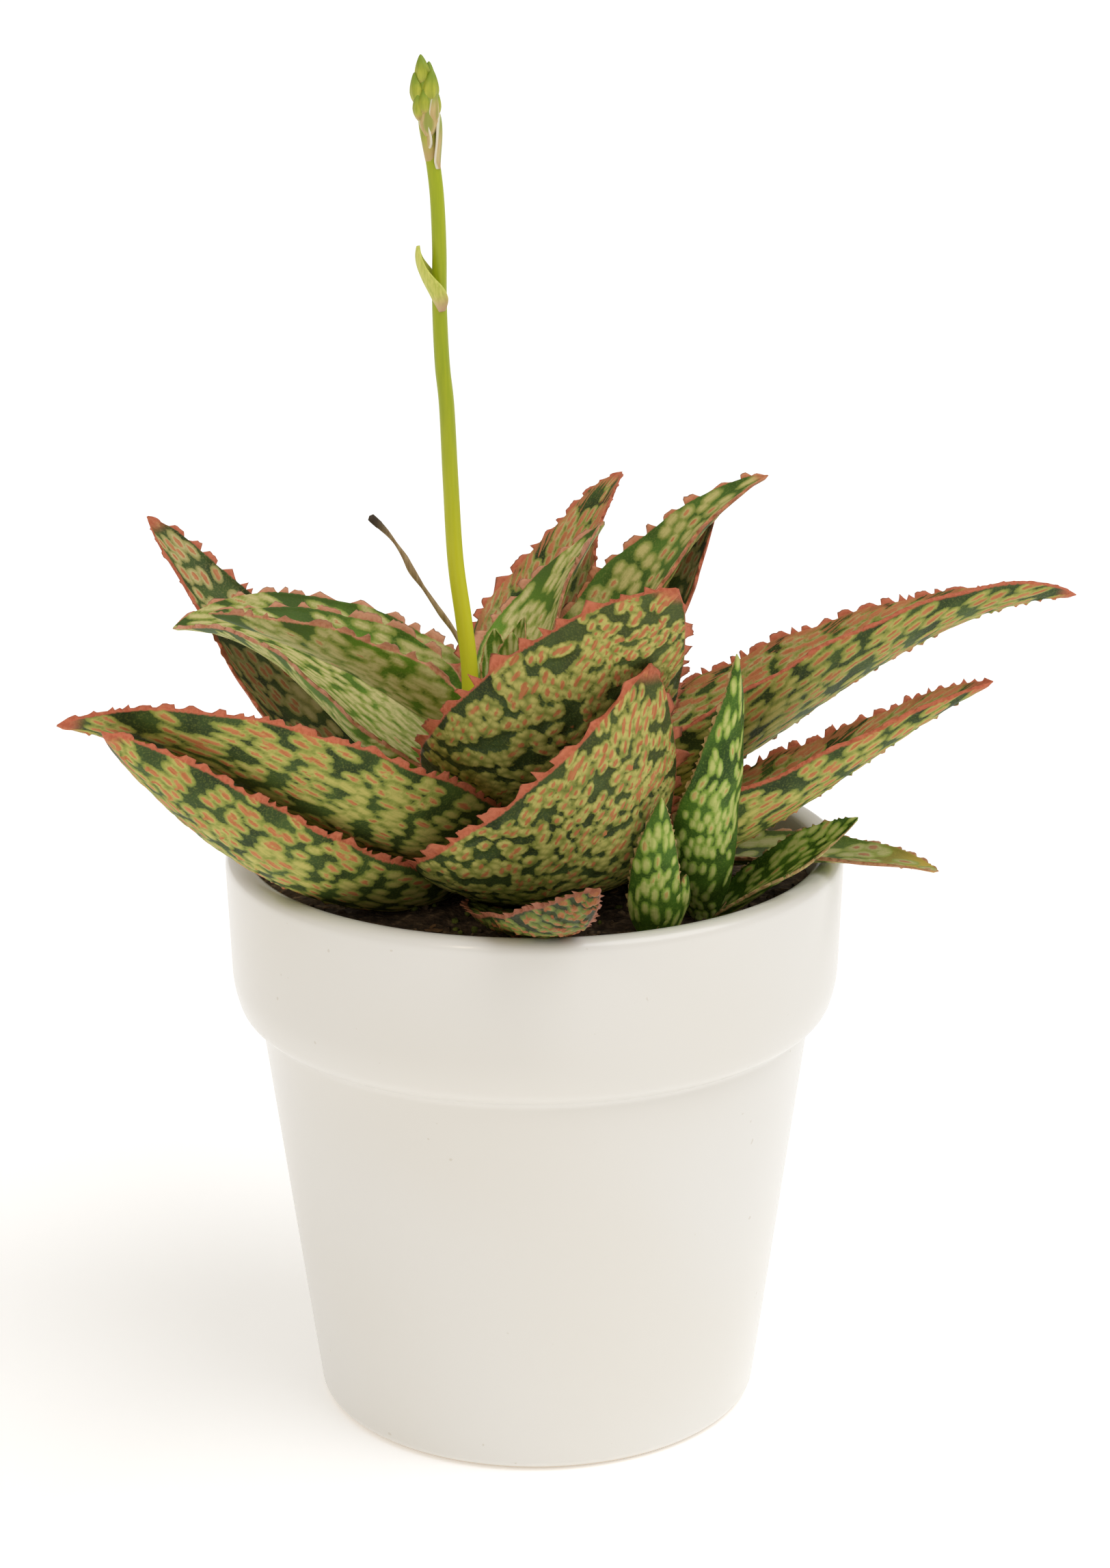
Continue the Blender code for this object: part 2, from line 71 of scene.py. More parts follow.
# One leaf. Its root's height, its length and its width are in mm, the rest in degrees: turn
# is the heading at the root and the tip, rise the slope at the root, middle and tip, channel
# half the arc of the hollow section, twist the roll at the tip. skin is the finish it wears
# and foot its width at the stem, as a share. worn is how far the teeth on its right and left
# margins still stand out, slim how much its outer half is drawn in, coarse how coarse its
# mesh is and blush how readily its spots turn coral.
Leaf = namedtuple("Leaf", "root turn rise length width channel twist skin foot worn slim "
                  "coarse blush", defaults=(1.0, (1.0, 1.0), 0.0, 1.0, 1.0))

# Rosette leaves, outermost first
ROSETTE = {
    "leaf_front_short": Leaf(122, (273, 293), (-8, 18, 34), 100, 20, 22, 24, "spiny", 0.75),
    "leaf_right_lowest": Leaf(120.6, (3, -48), (3.2, 8.6, 0), 93.5, 21.5, 30, -6, "pale", 0.75),
    "leaf_back_right_low": Leaf(122, (58, 60), (4, 10, 3), 93, 33, 36, 1, "old", 0.8,
                                coarse=1.4),
    "leaf_back_left_low": Leaf(122, (114, 114), (2, 12, 1), 93, 32, 30, 5, "old", 0.8,
                               coarse=1.4),
    "leaf_left_low": Leaf(122.8, (225, 227), (-12, 34, 40), 115, 35, 56, -23, "old", 0.75),
    "leaf_front_broad": Leaf(126, (272, 350), (-13, 45, 82), 96, 51, 20, 35, "beaded", 0.75,
                             worn=(1.0, 1.7)),
    "leaf_right_low": Leaf(126, (-29, -20), (-9, 34, 27), 116, 40, 72, -3, "old", 0.725,
                           worn=(0.45, 1.1), slim=0.15),
    "leaf_left_back": Leaf(129, (134, 149), (-6, 36, 40), 116, 35, 45, 12, "ringed", 0.8,
                           slim=0.25),
    "leaf_back_middle": Leaf(130, (87, 87), (11, 12, -1), 79, 34, 60, 1, "old", 0.8,
                             coarse=1.4),
    "leaf_right_long": Leaf(131.5, (-1, 18), (8, 31.5, -8), 130, 52, 72, 20, "old", 0.75,
                            worn=(0.4, 1.25), slim=0.08),
    "leaf_left_long": Leaf(129, (238, 195), (4, 32, 6), 112, 50, 62, -33, "old"),
    "leaf_right_inner": Leaf(138, (26, 35), (17, 57, 54), 74, 24, 44, 1, "ringed"),
    "leaf_front_upper": Leaf(138, (283, 315), (17, 46, 41), 98, 51, 36, 30, "beaded"),
    "leaf_left_inner": Leaf(136, (129, 174), (10, 30, -15), 87, 51, 61, 8, "young", 0.8),
    "leaf_back_upright": Leaf(143, (79, 47), (22, 51, 26), 81, 32, 34, 8, "old",
                              worn=(1.3, 1.3), slim=0.32, blush=0.55),
    "leaf_right_upright": Leaf(146, (34, 19), (36, 51, 17), 83, 28, 49, -6, "half_grown",
                               slim=0.2),
    "leaf_back_young": Leaf(150, (79, 29), (49, 45, 45), 56, 20, 56, 21, "young"),
    "leaf_left_young": Leaf(152, (186, 183), (42, 26, 14), 62, 32, 77, -8, "young"),
}

# Leaves of the two offsets, and of the tuft in the rosette's middle
OFFSET_TALL = (
    Leaf(118, (259, 317), (58, 63, 93), 72, 15, 54, -2, "offset"),
    Leaf(118, (-8, -4), (40, 38, 34), 38.5, 13, 48, -45, "offset"),
    Leaf(118, (70, 60), (40, 40, 46), 13, 8, 50, 0, "offset"),
    Leaf(118, (200, 206), (52, 60, 66), 15, 8, 50, 0, "offset"),
)
OFFSET_SMALL = (
    Leaf(118, (266, 285), (66, 70, 78), 38, 11, 48, 0, "offset"),
    Leaf(118, (330, 310), (50, 70, 84), 18, 8, 48, 0, "offset"),
    Leaf(118, (120, 110), (60, 66, 70), 15, 7, 48, 0, "offset"),
)
HEART = tuple(
    Leaf(158, (turn, turn - 12), (rise, rise + 6, rise + 12), long, 0.36 * long + 2.0, 52, 0,
         "heart")
    for turn, rise, long in ((300, 70, 18), (50, 66, 19), (10, 72, 15), (110, 74, 16),
                             (330, 60, 13)))

# Leaf outline: share of the full width at a share of the length
WIDTH_ALONG = ((0.0, 0.32), (0.06, 0.56), (0.16, 0.88), (0.3, 1.0), (0.5, 0.91),
               (0.7, 0.68), (0.85, 0.42), (0.95, 0.18), (1.0, 0.014))

# Places in mm along the middle of the fresh stalk, of its head and of the dry stalk
SPIKE_PATH = ((-13.6, 0, 157.0), (-13.9, 0, 167.0), (-15.0, 0, 177.0), (-16.6, 0, 190.0),
              (-17.4, 0, 207.0), (-18.0, 0, 223.0), (-18.8, 0, 232.0), (-19.2, 0, 244.0),
              (-19.1, 0, 256.0), (-19.4, 0, 266.0), (-20.0, 0, 272.4), (-20.7, 0, 277.0))
HEAD_PATH = ((-20.3, 0, 273.6), (-20.6, 0, 276.6), (-21.1, 0, 281.0), (-21.4, 0, 285.0),
             (-21.7, 0, 290.0), (-22.1, 0, 292.5))
DRY_PATH = ((-10.5, 3.2, 157.3), (-12.4, 5.9, 162.0), (-15.0, 7.6, 168.0), (-17.6, 8.0, 172.6),
            (-20.2, 8.0, 176.4), (-23.2, 8.0, 181.0), (-26.2, 8.0, 185.6), (-28.0, 8.0, 189.2),
            (-31.2, 8.0, 193.8), (-35.2, 8.0, 197.8))
# Thickness of the flower head's core: radius in mm at a share of its height
HEAD_CORE = ((0, 0.14, 0.4, 0.75, 1), (1.35, 1.6, 1.9, 1.8, 0.8))
# Closed buds: middle, radius and height in mm, and lean in degrees
BUDS = (
    ((-22.1, 0.0, 291.9), 1.55, 6.2, -5), ((-20.5, -0.9, 288.6), 1.75, 6.8, 6),
    ((-23.2, -0.4, 288.2), 1.5, 6.4, -8), ((-21.7, -1.7, 285.9), 1.35, 5.0, 0),
    ((-22.9, -1.3, 285.0), 1.25, 5.4, -4), ((-19.9, 0.6, 285.2), 1.5, 6.2, 5),
    ((-21.6, 1.6, 288.2), 1.6, 6.4, 0), ((-22.7, 1.3, 284.4), 1.4, 5.6, -5),
    ((-20.9, 1.2, 291.0), 1.3, 5.2, 2), ((-20.0, -1.0, 283.6), 1.2, 5.0, 4),
)
# Bracts: heading, foot in mm, rise, length and width. One stands on the stalk's side, the
# others under the buds.
SIDE_BRACT = (186, (-18.9, -0.9, 243.2), (78, 62, 112), 14.8, 8.4)
HEAD_BRACTS = (
    (176, (-21.0, -0.6, 276.4), (96, 84, 98), 10.0, 4.2),
    (4, (-19.2, -0.7, 272.6), (90, 86, 106), 11.5, 4.4),
    (268, (-20.9, -1.6, 279.4), (80, 90, 96), 8.5, 4.4),
    (92, (-20.8, 1.4, 277.0), (84, 88, 96), 9.5, 4.2),
    (215, (-22.0, -1.3, 281.6), (80, 92, 94), 6.5, 3.2),
    (318, (-19.8, -1.4, 281.8), (76, 92, 96), 7.0, 3.2),
)

# How each kind of leaf is marked, the lower face first. Lengths are in mm. Spots lie side by
# side in lanes along the leaf, each long and wide from its middle, in bands of one or more
# rows that zigzag across it with a dark gap between bands. fill is how many of the places
# hold a spot, dash how readily a spot has a coral dash on it and core how much of the spot
# the dash takes. drift is how far the whole pattern wanders, relief how far spots stand up
# and finer how much closer the spots draw together towards the tip.
Marks = namedtuple("Marks", "lane wide long rows gap zig fill dash core drift relief finer",
                   defaults=(0.0,))
MARKINGS = {
    "old": (Marks(2.0, 0.46, 2.8, (1, 1, 2, 2), 2.2, 2.4, 0.98, 0.95, (0.74, 0.54), 0.8, 0.16),
            Marks(1.8, 0.53, 3.0, (2, 3, 4), 1.2, 1.9, 0.98, 2.2, (0.86, 0.62), 1.1, 0.14)),
    "ringed": [Marks(2.8, 0.45, 2.6, (1, 1, 2), 2.2, 2.4, 0.97, 1.3, (0.74, 0.56), 1.0,
                     0.16)] * 2,
    "beaded": (Marks(3.2, 0.6, 2.6, (1, 2, 2), 1.5, 3.4, 0.98, 1.1, (0.62, 0.34), 2.2, 0.35,
                     0.42),
               Marks(2.0, 0.5, 2.4, (2, 2, 3), 1.4, 1.8, 0.96, 1.6, (0.8, 0.66), 1.2, 0.15)),
    "half_grown": [Marks(3.0, 0.46, 2.2, (1, 1, 2), 1.9, 2.2, 0.96, 0.3, (0.6, 0.45), 1.1,
                         0.14)] * 2,
    "young": [Marks(1.9, 0.47, 2.7, (2, 2, 3), 1.3, 2.2, 0.96, 0.12, (0.55, 0.45), 1.2,
                    0.14)] * 2,
    "pale": [Marks(3.4, 0.5, 2.2, (1, 1, 2), 2.6, 2.0, 0.9, 0.6, (0.5, 0.45), 1.6, 0.1)] * 2,
    "spiny": [Marks(2.6, 0.54, 1.9, (1, 1, 2), 2.2, 0.9, 1.0, 1.0, (0.6, 0.52), 0.9, 0.5)] * 2,
    "offset": [Marks(1.95, 0.38, 1.9, (1, 2, 2), 1.7, 1.8, 0.92, 0.2, (0.6, 0.5), 1.4,
                     0.16)] * 2,
    "heart": [Marks(1.5, 0.42, 2.4, (1, 2), 1.0, 0.8, 0.95, 0.0, (0.5, 0.5), 0.6, 0.08)] * 2,
}
# Finish of each kind of leaf: its name, how tall the margin's teeth stand and its colours,
# which are two tones of the ground, rim and middle of a spot on the lower face, middle of one
# on the upper face, coral dash, and margin. line is how wide the margin's coloured line is,
# soft how softly spots fade out and swell how far they swell the bump.
Skin = namedtuple("Skin", "name teeth tones line soft swell", defaults=(0.6, 0.3, 0.6))
SKINS = {
    "old": Skin("aloe_skin_mature", 0.85,
                "#2A3818 #475C28 #8C9442 #C0B766 #CCBA80 #C0724A #C87052"),
    "ringed": Skin("aloe_skin_ringed", 1.1,
                   "#2E3C1A #4C602B #A09C5C #CFC28C #CFC28C #C0764C #C87052"),
    "beaded": Skin("aloe_skin_beaded", 1.4,
                   "#253118 #3E5028 #858A3E #C0B868 #C8B778 #BE714A #C87052", swell=2.2),
    "half_grown": Skin("aloe_skin_half_grown", 1.15,
                       "#3E591B #557729 #8F9848 #C0BC6C #C8BD7A #C67C52 #CE8662", 0.5, 0.5),
    "young": Skin("aloe_skin_young", 1.15,
                  "#446416 #668E22 #99A44E #CEC888 #D4C98C #CA9262 #D29272", 0.45, 0.5),
    "pale": Skin("aloe_skin_yellowed", 0.6,
                 "#48622A #6A8232 #9BA652 #C2BE84 #C2BE84 #BC8060 #C08C66"),
    "spiny": Skin("aloe_skin_spiny", 0.85,
                  "#1E260D #2E3A14 #5E6C2C #84883F #84883F #A0603A #A0644A", swell=1.3),
    "offset": Skin("aloe_skin_offset", 0.4,
                   "#29440E #486C1E #84A03E #BEC274 #BEC274 #BE9A5C #BC9E6C", 0.3, 0.5),
    "heart": Skin("aloe_skin_heart", 0.35,
                  "#4A6C1C #638927 #94A04C #CCCA8C #CCCA8C #C3C78A #CFA676", 0.4, 0.5),
    "bract": Skin("papery_bract_skin", 0.0, ""),
}
# Values stored on a leaf's points: how deep they lie in a spot and in a dash, how far in from
# the margin in mm, how far along as a share, and 1 on the lower face
STORED = ("spot", "dash", "edge", "along", "face")


def linear(hex_colour):
    """An sRGB hex colour as linear red, green, blue and alpha."""
    parts = [int(hex_colour[i:i + 2], 16) / 255 for i in (1, 3, 5)]
    return (*[p / 12.92 if p <= 0.04045 else ((p + 0.055) / 1.055) ** 2.4 for p in parts], 1.0)


def colour_prop(name, description, hex_colour):
    return bpy.props.FloatVectorProperty(name=name, description=description, size=4,
                                         subtype="COLOR", min=0.0, max=1.0,
                                         default=linear(hex_colour))


def number_prop(name, description, default, **kind):
    return bpy.props.FloatProperty(name=name, description=description, default=default, **kind)


def size_prop(name, description, default):
    return number_prop(name, description, default, unit="LENGTH", subtype="DISTANCE")


class LeafSettings(bpy.types.PropertyGroup):
    mesh_step: size_prop("Mesh Step", "Distance between points on a leaf's skin", 0.6 * MM)
    thickness: size_prop("Thickness", "Greatest thickness of a leaf", 4.4 * MM)
    tooth_length: size_prop("Tooth Length", "Usual length of a margin tooth", 3.3 * MM)
    tooth_height: size_prop("Tooth Height", "How far a margin tooth stands out", 1.8 * MM)
    margin_width: size_prop("Margin Width", "Width of the coral line on the margin", 0.7 * MM)
    ground: colour_prop("Ground Tint", "Tints the skin between the spots", "#FFFFFF")
    spots: colour_prop("Spot Tint", "Tints the spots", "#FFFFFF")
    coral: colour_prop("Coral Tint", "Tints the dashes, margins and teeth", "#FFFFFF")


class PotSettings(bpy.types.PropertyGroup):
    rim_radius: size_prop("Rim Radius", "Outside radius of the rim", 67.5 * MM)
    lip_radius: size_prop("Lip Radius", "Rounding of the rim's upper edge", 2.9 * MM)
    glaze: colour_prop("Glaze", "Off-white glaze", "#E5E3DE")


class SoilSettings(bpy.types.PropertyGroup):
    crumb: size_prop("Crumb", "Usual size of a crumb of soil", 1.6 * MM)
    dark: colour_prop("Soil", "Damp potting soil", "#5A4835")
    bark: colour_prop("Bark", "Bits of bark", "#94704A")
    moss: colour_prop("Moss", "Bits of moss on the soil", "#667028")


class FlowerSettings(bpy.types.PropertyGroup):
    stalk: colour_prop("Stalk", "Yellow-green of the fresh stalk", "#A9B41A")
    bud: colour_prop("Bud", "Green of the closed buds", "#BABC44")
    bract: colour_prop("Bract", "Pinkish tan of the bracts", "#C2A26C")
    dry: colour_prop("Dry Stalk", "Tan of the withered stalk", "#BBA27C")


class StageSettings(bpy.types.PropertyGroup):
    floor: colour_prop("Floor", "Studio floor", "#F8F8F8")
    key_power: number_prop("Key Light", "Strength of the key light", 1.35)
    air: number_prop("Soft Light", "Light from all round", 0.52)
    floor_glow: number_prop("Floor Glow", "Lift of the white sweep", 0.31)


def clamp(value):
    return min(1.0, max(0.0, value))


# Small helpers for materials and meshes

def feed(tree, sockets, values):
    """Set each socket, or link it where the value is another node's output."""
    for key, value in values.items():
        if isinstance(value, bpy.types.NodeSocket):
            tree.links.new(value, sockets[key])
        else:
            sockets[key].default_value = value


def node(tree, kind, inputs=(), out=0, **named):
    """Add one shader node with its settings, input values and incoming links, and give one
    of its outputs. Inputs are in order, by number, or named with a capital letter."""
    new = tree.nodes.new("ShaderNode" + kind)
    values = inputs if isinstance(inputs, dict) else dict(enumerate(inputs))
    for key, value in named.items():
        if key[0].isupper():
            values[key] = value
        else:
            setattr(new, key, value)
    feed(tree, new.inputs, values)
    return new.outputs[out]


def layered(tree, colour, *layers):
    """Lay colours over one another. Each layer is a colour, a value or the name of a stored
    one, what it is where the layer begins and where it is full, and how much that hides."""
    for over, value, start, full, most in layers:
        if isinstance(value, str):
            value = node(tree, "Attribute", out="Fac", attribute_name=value)
        share = node(tree, "MapRange", (value, start, full, 0.0, most),
                     interpolation_type="SMOOTHSTEP")
        colour = node(tree, "Mix", {0: share, 6: colour, 7: over}, 2, data_type="RGBA")
    return colour


def fibres(tree, place, across, along):
    """Streaks, so many to the metre across and along."""
    stretched = node(tree, "Mapping", Vector=place, Scale=(across, across, along))
    return node(tree, "TexNoise", Vector=stretched, Scale=1.0, Detail=3.0)


def toned(colour, red, green, blue):
    """A colour with its red, green and blue turned up or down."""
    return (*[min(1.0, c * f) for c, f in zip(colour, (red, green, blue))], 1.0)


def new_material(name):
    material = bpy.data.materials.new(name)
    material.use_nodes = True
    return material, material.node_tree


def shade(tree, relief=None, **sockets):
    """Set or link the shader's own sockets. relief is the height of a bump, its strength and
    how deep it is in mm."""
    if relief:
        sockets["Normal"] = node(tree, "Bump", Height=relief[0], Strength=relief[1],
                                 Distance=relief[2] * MM)
    feed(tree, tree.nodes["Principled BSDF"].inputs,
         {key.replace("_", " "): value for key, value in sockets.items()})


def finish_piece(obj, material, replaces=None, smooth=True):
    obj.data.materials.append(material)
    if smooth:
        obj.data.shade_smooth()
    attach(obj, "root")
    if replaces:
        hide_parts(replaces)


def dress_node(name, material):
    """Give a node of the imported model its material."""
    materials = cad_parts[name].data.materials
    materials.clear()
    materials.append(material)


def link_object(name, data):
    obj = bpy.data.objects.new(name, data)
    bpy.context.scene.collection.objects.link(obj)
    return obj


def mesh_object(name, bm):
    mesh = bpy.data.meshes.new(name)
    bm.to_mesh(mesh)
    bm.free()
    return link_object(name, mesh)


def unit_grid(columns, rows):
    """A grid made by Blender, with each point's column and row number."""
    bm = bmesh.new()
    bmesh.ops.create_grid(bm, x_segments=columns, y_segments=rows, size=1.0)
    mesh = bpy.data.meshes.new("grid")
    bm.to_mesh(mesh)
    bm.free()
    flat = np.empty(len(mesh.vertices) * 3)
    mesh.vertices.foreach_get("co", flat)
    x, y, _ = (flat.reshape(-1, 3).T + 1) / 2
    return mesh, np.rint(x * columns).astype(int), np.rint(y * rows).astype(int)


def skin_object(name, mesh, places):
    """Give a wrapped grid its places in mm, weld its seam and ends and face it outwards."""
    mesh.name = name
    mesh.vertices.foreach_set("co", (places * MM).astype(np.float32).ravel())
    bm = bmesh.new()
    bm.from_mesh(mesh)
    bmesh.ops.remove_doubles(bm, verts=bm.verts, dist=WELD)
    bmesh.ops.dissolve_degenerate(bm, edges=bm.edges, dist=WELD)
    bmesh.ops.holes_fill(bm, edges=[e for e in bm.edges if e.is_boundary], sides=0)
    bmesh.ops.recalc_face_normals(bm, faces=bm.faces)
    bm.to_mesh(mesh)
    bm.free()
    return link_object(name, mesh)


def store(mesh, label, values):
    """Store one number on each point of a mesh."""
    layer = mesh.attributes.new(label, "FLOAT", "POINT")
    layer.data.foreach_set("value", np.ascontiguousarray(values, dtype=np.float32))


def join(name, pieces):
    """Join finished pieces, whose places are in their meshes, into one object."""
    bm = bmesh.new()
    for piece in pieces:
        bm.from_mesh(piece.data)
        bpy.data.objects.remove(piece, do_unlink=True)
    return mesh_object(name, bm)


def smooth_table(places, table):
    """Smooth monotone reading of a table of (place, value) pairs."""
    x, y = np.array(table).T
    step = np.diff(x)
    slope = np.diff(y) / step
    tangent = np.zeros(len(x))
    for i in range(1, len(x) - 1):
        if slope[i - 1] * slope[i] > 0:
            w1 = 2 * step[i] + step[i - 1]
            w2 = step[i] + 2 * step[i - 1]
            tangent[i] = (w1 + w2) / (w1 / slope[i - 1] + w2 / slope[i])
    tangent[0], tangent[-1] = slope[0], slope[-1]
    k = np.clip(np.searchsorted(x, places) - 1, 0, len(step) - 1)
    t = (places - x[k]) / step[k]
    a = (1 + 2 * t) * (1 - t) ** 2 * y[k] + t * (1 - t) ** 2 * step[k] * tangent[k]
    return a + t * t * (3 - 2 * t) * y[k + 1] + t * t * (t - 1) * step[k] * tangent[k + 1]


# Leaves

def leaf_spine(leaf, start, count):
    """Points in mm along the leaf's middle, with its upper and sideways directions."""
    s = np.linspace(0.0, 1.0, count)
    first, middle, last = leaf.rise
    slope = first * (1 - s) * (1 - 2 * s) + middle * 4 * s * (1 - s) + last * s * (2 * s - 1)
    e = np.radians(slope)
    a = np.radians(leaf.turn[0] + (leaf.turn[1] - leaf.turn[0]) * s)
    ahead = np.stack([np.cos(e) * np.cos(a), np.cos(e) * np.sin(a), np.sin(e)], -1)
    above = np.stack([-np.sin(e) * np.cos(a), -np.sin(e) * np.sin(a), np.cos(e)], -1)
    beside = np.stack([-np.sin(a), np.cos(a), 0 * a], -1)
    moves = (ahead[1:] + ahead[:-1]) * 0.5 * (leaf.length / (count - 1))
    points = np.vstack([start, start + np.cumsum(moves, axis=0)])
    roll = np.radians(leaf.twist * s)[:, None]
    upper = above * np.cos(roll) + beside * np.sin(roll)
    side = beside * np.cos(roll) - above * np.sin(roll)
    return s, points, upper, side


def leaf_start(leaf, middle, out=None):
    """Where a leaf is rooted: out from the stem's middle, and less so the higher it stands."""
    if out is None:
        out = 9.5 - 3.5 * clamp((leaf.root - 130) / 25)
    angle = math.radians(leaf.turn[0])
    return np.array([middle[0] + out * math.cos(angle), middle[1] + out * math.sin(angle),
                     leaf.root])


def half_width(leaf, place):
    """Half the leaf's width in mm at a share of its length."""
    place = np.asarray(place, float)
    share = smooth_table(place, WIDTH_ALONG)
    narrow = 1.0 - (1.0 - leaf.foot) * np.clip(1.0 - place / 0.34, 0.0, 1.0)
    outer = np.clip((place - 0.5) / 0.5, 0.0, 1.0)
    slim = 1.0 - leaf.slim * np.sin(math.pi * outer ** 1.3)
    return leaf.width / 2 * share * narrow * slim


def tooth_line(along, length, scale, settings, draw):
    """Height in mm of one margin's teeth at each distance along it: flat-topped blocks with
    notches between them along the middle, and more and more saw points towards the tip."""
    usual = settings.tooth_length / MM * min(1.0, max(0.4, scale))
    tall = settings.tooth_height / MM * scale
    spread = 1.7 + 2.2 * max(0.0, scale - 1.0)
    height = np.zeros(len(along))
    at = length * 0.05 + draw.uniform(0, 2)
    while at < length * 0.98:
        part = at / length
        size = usual * draw.choice((0.45, 0.8, 1.1, 1.5, 2.0)) * draw.uniform(0.8, 1.2)
        size *= 1.1 - 0.4 * part
        fade = float(np.interp(part, (0.03, 0.22, 0.75, 1.0), (0.35, 1.0, 0.95, 0.6)))
        top = tall * draw.uniform(0.55, 1.2) * fade
        into = (along - at) / size
        if draw.random() < 0.1 + 0.45 * part ** 2:
            shape = 1.15 * np.minimum(np.clip(into / 0.72, 0, 1) ** 1.1,
                                      np.clip((1 - into) / 0.26, 0, 1))
        else:
            shape = np.minimum(np.clip(into / 0.16, 0, 1), np.clip((1 - into) / 0.12, 0, 1))
            shape = shape * (1 + draw.uniform(-0.2, 0.35) * (into - 0.5)
                             + 0.07 * np.sin(along * 4.3 + draw.uniform(0, 6)))
        height = np.maximum(height, top * shape)
        at += size + draw.uniform(0.3, spread) * (0.4 + 0.6 * scale)
    return np.maximum(height, 0) * np.clip((length - along) / 2.5, 0, 1)


def place_spots(leaf, marks, draw):
    """Spots of one face as rows of (along, across, half length, half width, dash)."""
    length = leaf.length
    spots = []
    swing = [draw.uniform(0, ANY_TURN), draw.uniform(0, ANY_TURN)]
    at = draw.uniform(0.0, 3.0)
    while at < length:
        part = at / length
        long = marks.long * (0.85 + 0.25 * part) * draw.uniform(0.88, 1.12)
        long *= 1 - marks.finer * 0.6 * part
        rows = draw.choice(marks.rows)
        half = float(half_width(leaf, min(1.0, (at + rows * long * 0.75) / length)))
        fine = 1 - marks.finer * clamp((part - 0.25) / 0.4)
        lane = marks.lane * min(1.0, 0.62 + half / 22) * fine
        lanes = max(1, int(round((2 * half - 1.2) / lane)))
        for number in range(lanes):
            across = (number + 0.5 - lanes / 2) * lane
            bend = math.sin(0.33 * across + swing[0]) + 0.45 * math.sin(0.95 * across + swing[1])
            zig = marks.zig * min(1.0, half / 7) * bend + draw.gauss(0, 0.16) * long
            bridges = 1 if draw.random() < 0.12 else 0
            for row in range(rows + bridges):
                if draw.random() > marks.fill:
                    continue
                u = at + zig + (row + 0.5) * long * ROW_PITCH + draw.gauss(0, 0.13) * long
                v = across + (row % 2 - 0.5) * lane * 0.4 + draw.gauss(0, 0.1) * lane
                # coral comes towards the tip and the margins
                ripe = np.interp(clamp(u / length), (0.1, 0.3, 0.55, 1.0), (0.02, 0.3, 0.8, 1.1))
                edge = min(1.0, abs(v) / max(half, 0.1))
                want = marks.dash * leaf.blush * (float(ripe) + 0.4 * edge ** 3)
                dash = draw.uniform(0.7, 1.1) if draw.random() < want else 0.0
                spots.append((u, v, long * draw.uniform(0.76, 1.22),
                              lane * marks.wide * draw.uniform(0.84, 1.16), dash))
        at += rows * long * ROW_PITCH + 0.45 * long + marks.gap * draw.uniform(0.6, 1.4)
        swing[0] += draw.gauss(0, 0.6)
        swing[1] += draw.gauss(0, 1.0)
    return spots


def drifted(along, across, amount, draw):
    """Places on a leaf, shifted by a slow wander in mm, so that no two bands run alike."""
    moved = [along.copy(), across.copy()]
    for size in (34.0, 21.0, 13.0):
        for which, share in ((0, 1.0), (1, 0.6)):
            heading, phase = draw.uniform(0, ANY_TURN), draw.uniform(0, ANY_TURN)
            run = along * math.cos(heading) + across * math.sin(heading)
            wave = np.sin(run * 6.283 / size + phase)
            moved[which] += 0.5 * amount * share * math.sqrt(size / 34.0) * wave
    return moved


def spot_fields(along, across, spots, core):
    """How deep each point lies in the nearest spot and the nearest coral dash."""
    spot = np.full(along.shape, OUTSIDE)
    dash = np.full(along.shape, OUTSIDE)
    for at, side, long, wide, strength in spots:
        near = np.abs(along - at) < 1.7 * long
        u = (along[near] - at) / long
        v = (across[near] - side) / wide
        spot[near] = np.maximum(spot[near], 1.0 - np.abs(u) ** 2.3 - v ** 2)
        if strength > 0:
            inner = 1.0 - (u / (core[0] * strength)) ** 2 - (v / (core[1] * strength)) ** 2
            dash[near] = np.maximum(dash[near], inner)
    return spot, dash


def prickles(leaf, draw):
    """Small horny points on a leaf's back as (along, across, radius): a loose row down the
    keel of an old leaf, and a crowd of them over a blunt, spiny tip."""
    found = []
    if leaf.skin in ("old", "pale", "beaded"):
        at = leaf.length * 0.3
        while at < leaf.length * 0.96:
            spread = 0.12 * float(half_width(leaf, at / leaf.length))
            found.append((at, draw.gauss(0, spread), draw.uniform(0.5, 0.85)))
            at += draw.uniform(2.4, 6.0)
    if leaf.skin == "spiny":
        for _ in range(TIP_PRICKLES):
            part = 1 - 0.6 * draw.random() ** 1.5
            found.append((part * leaf.length,
                          draw.uniform(-0.95, 0.95) * float(half_width(leaf, part)),
                          draw.uniform(0.5, 1.0)))
    return found


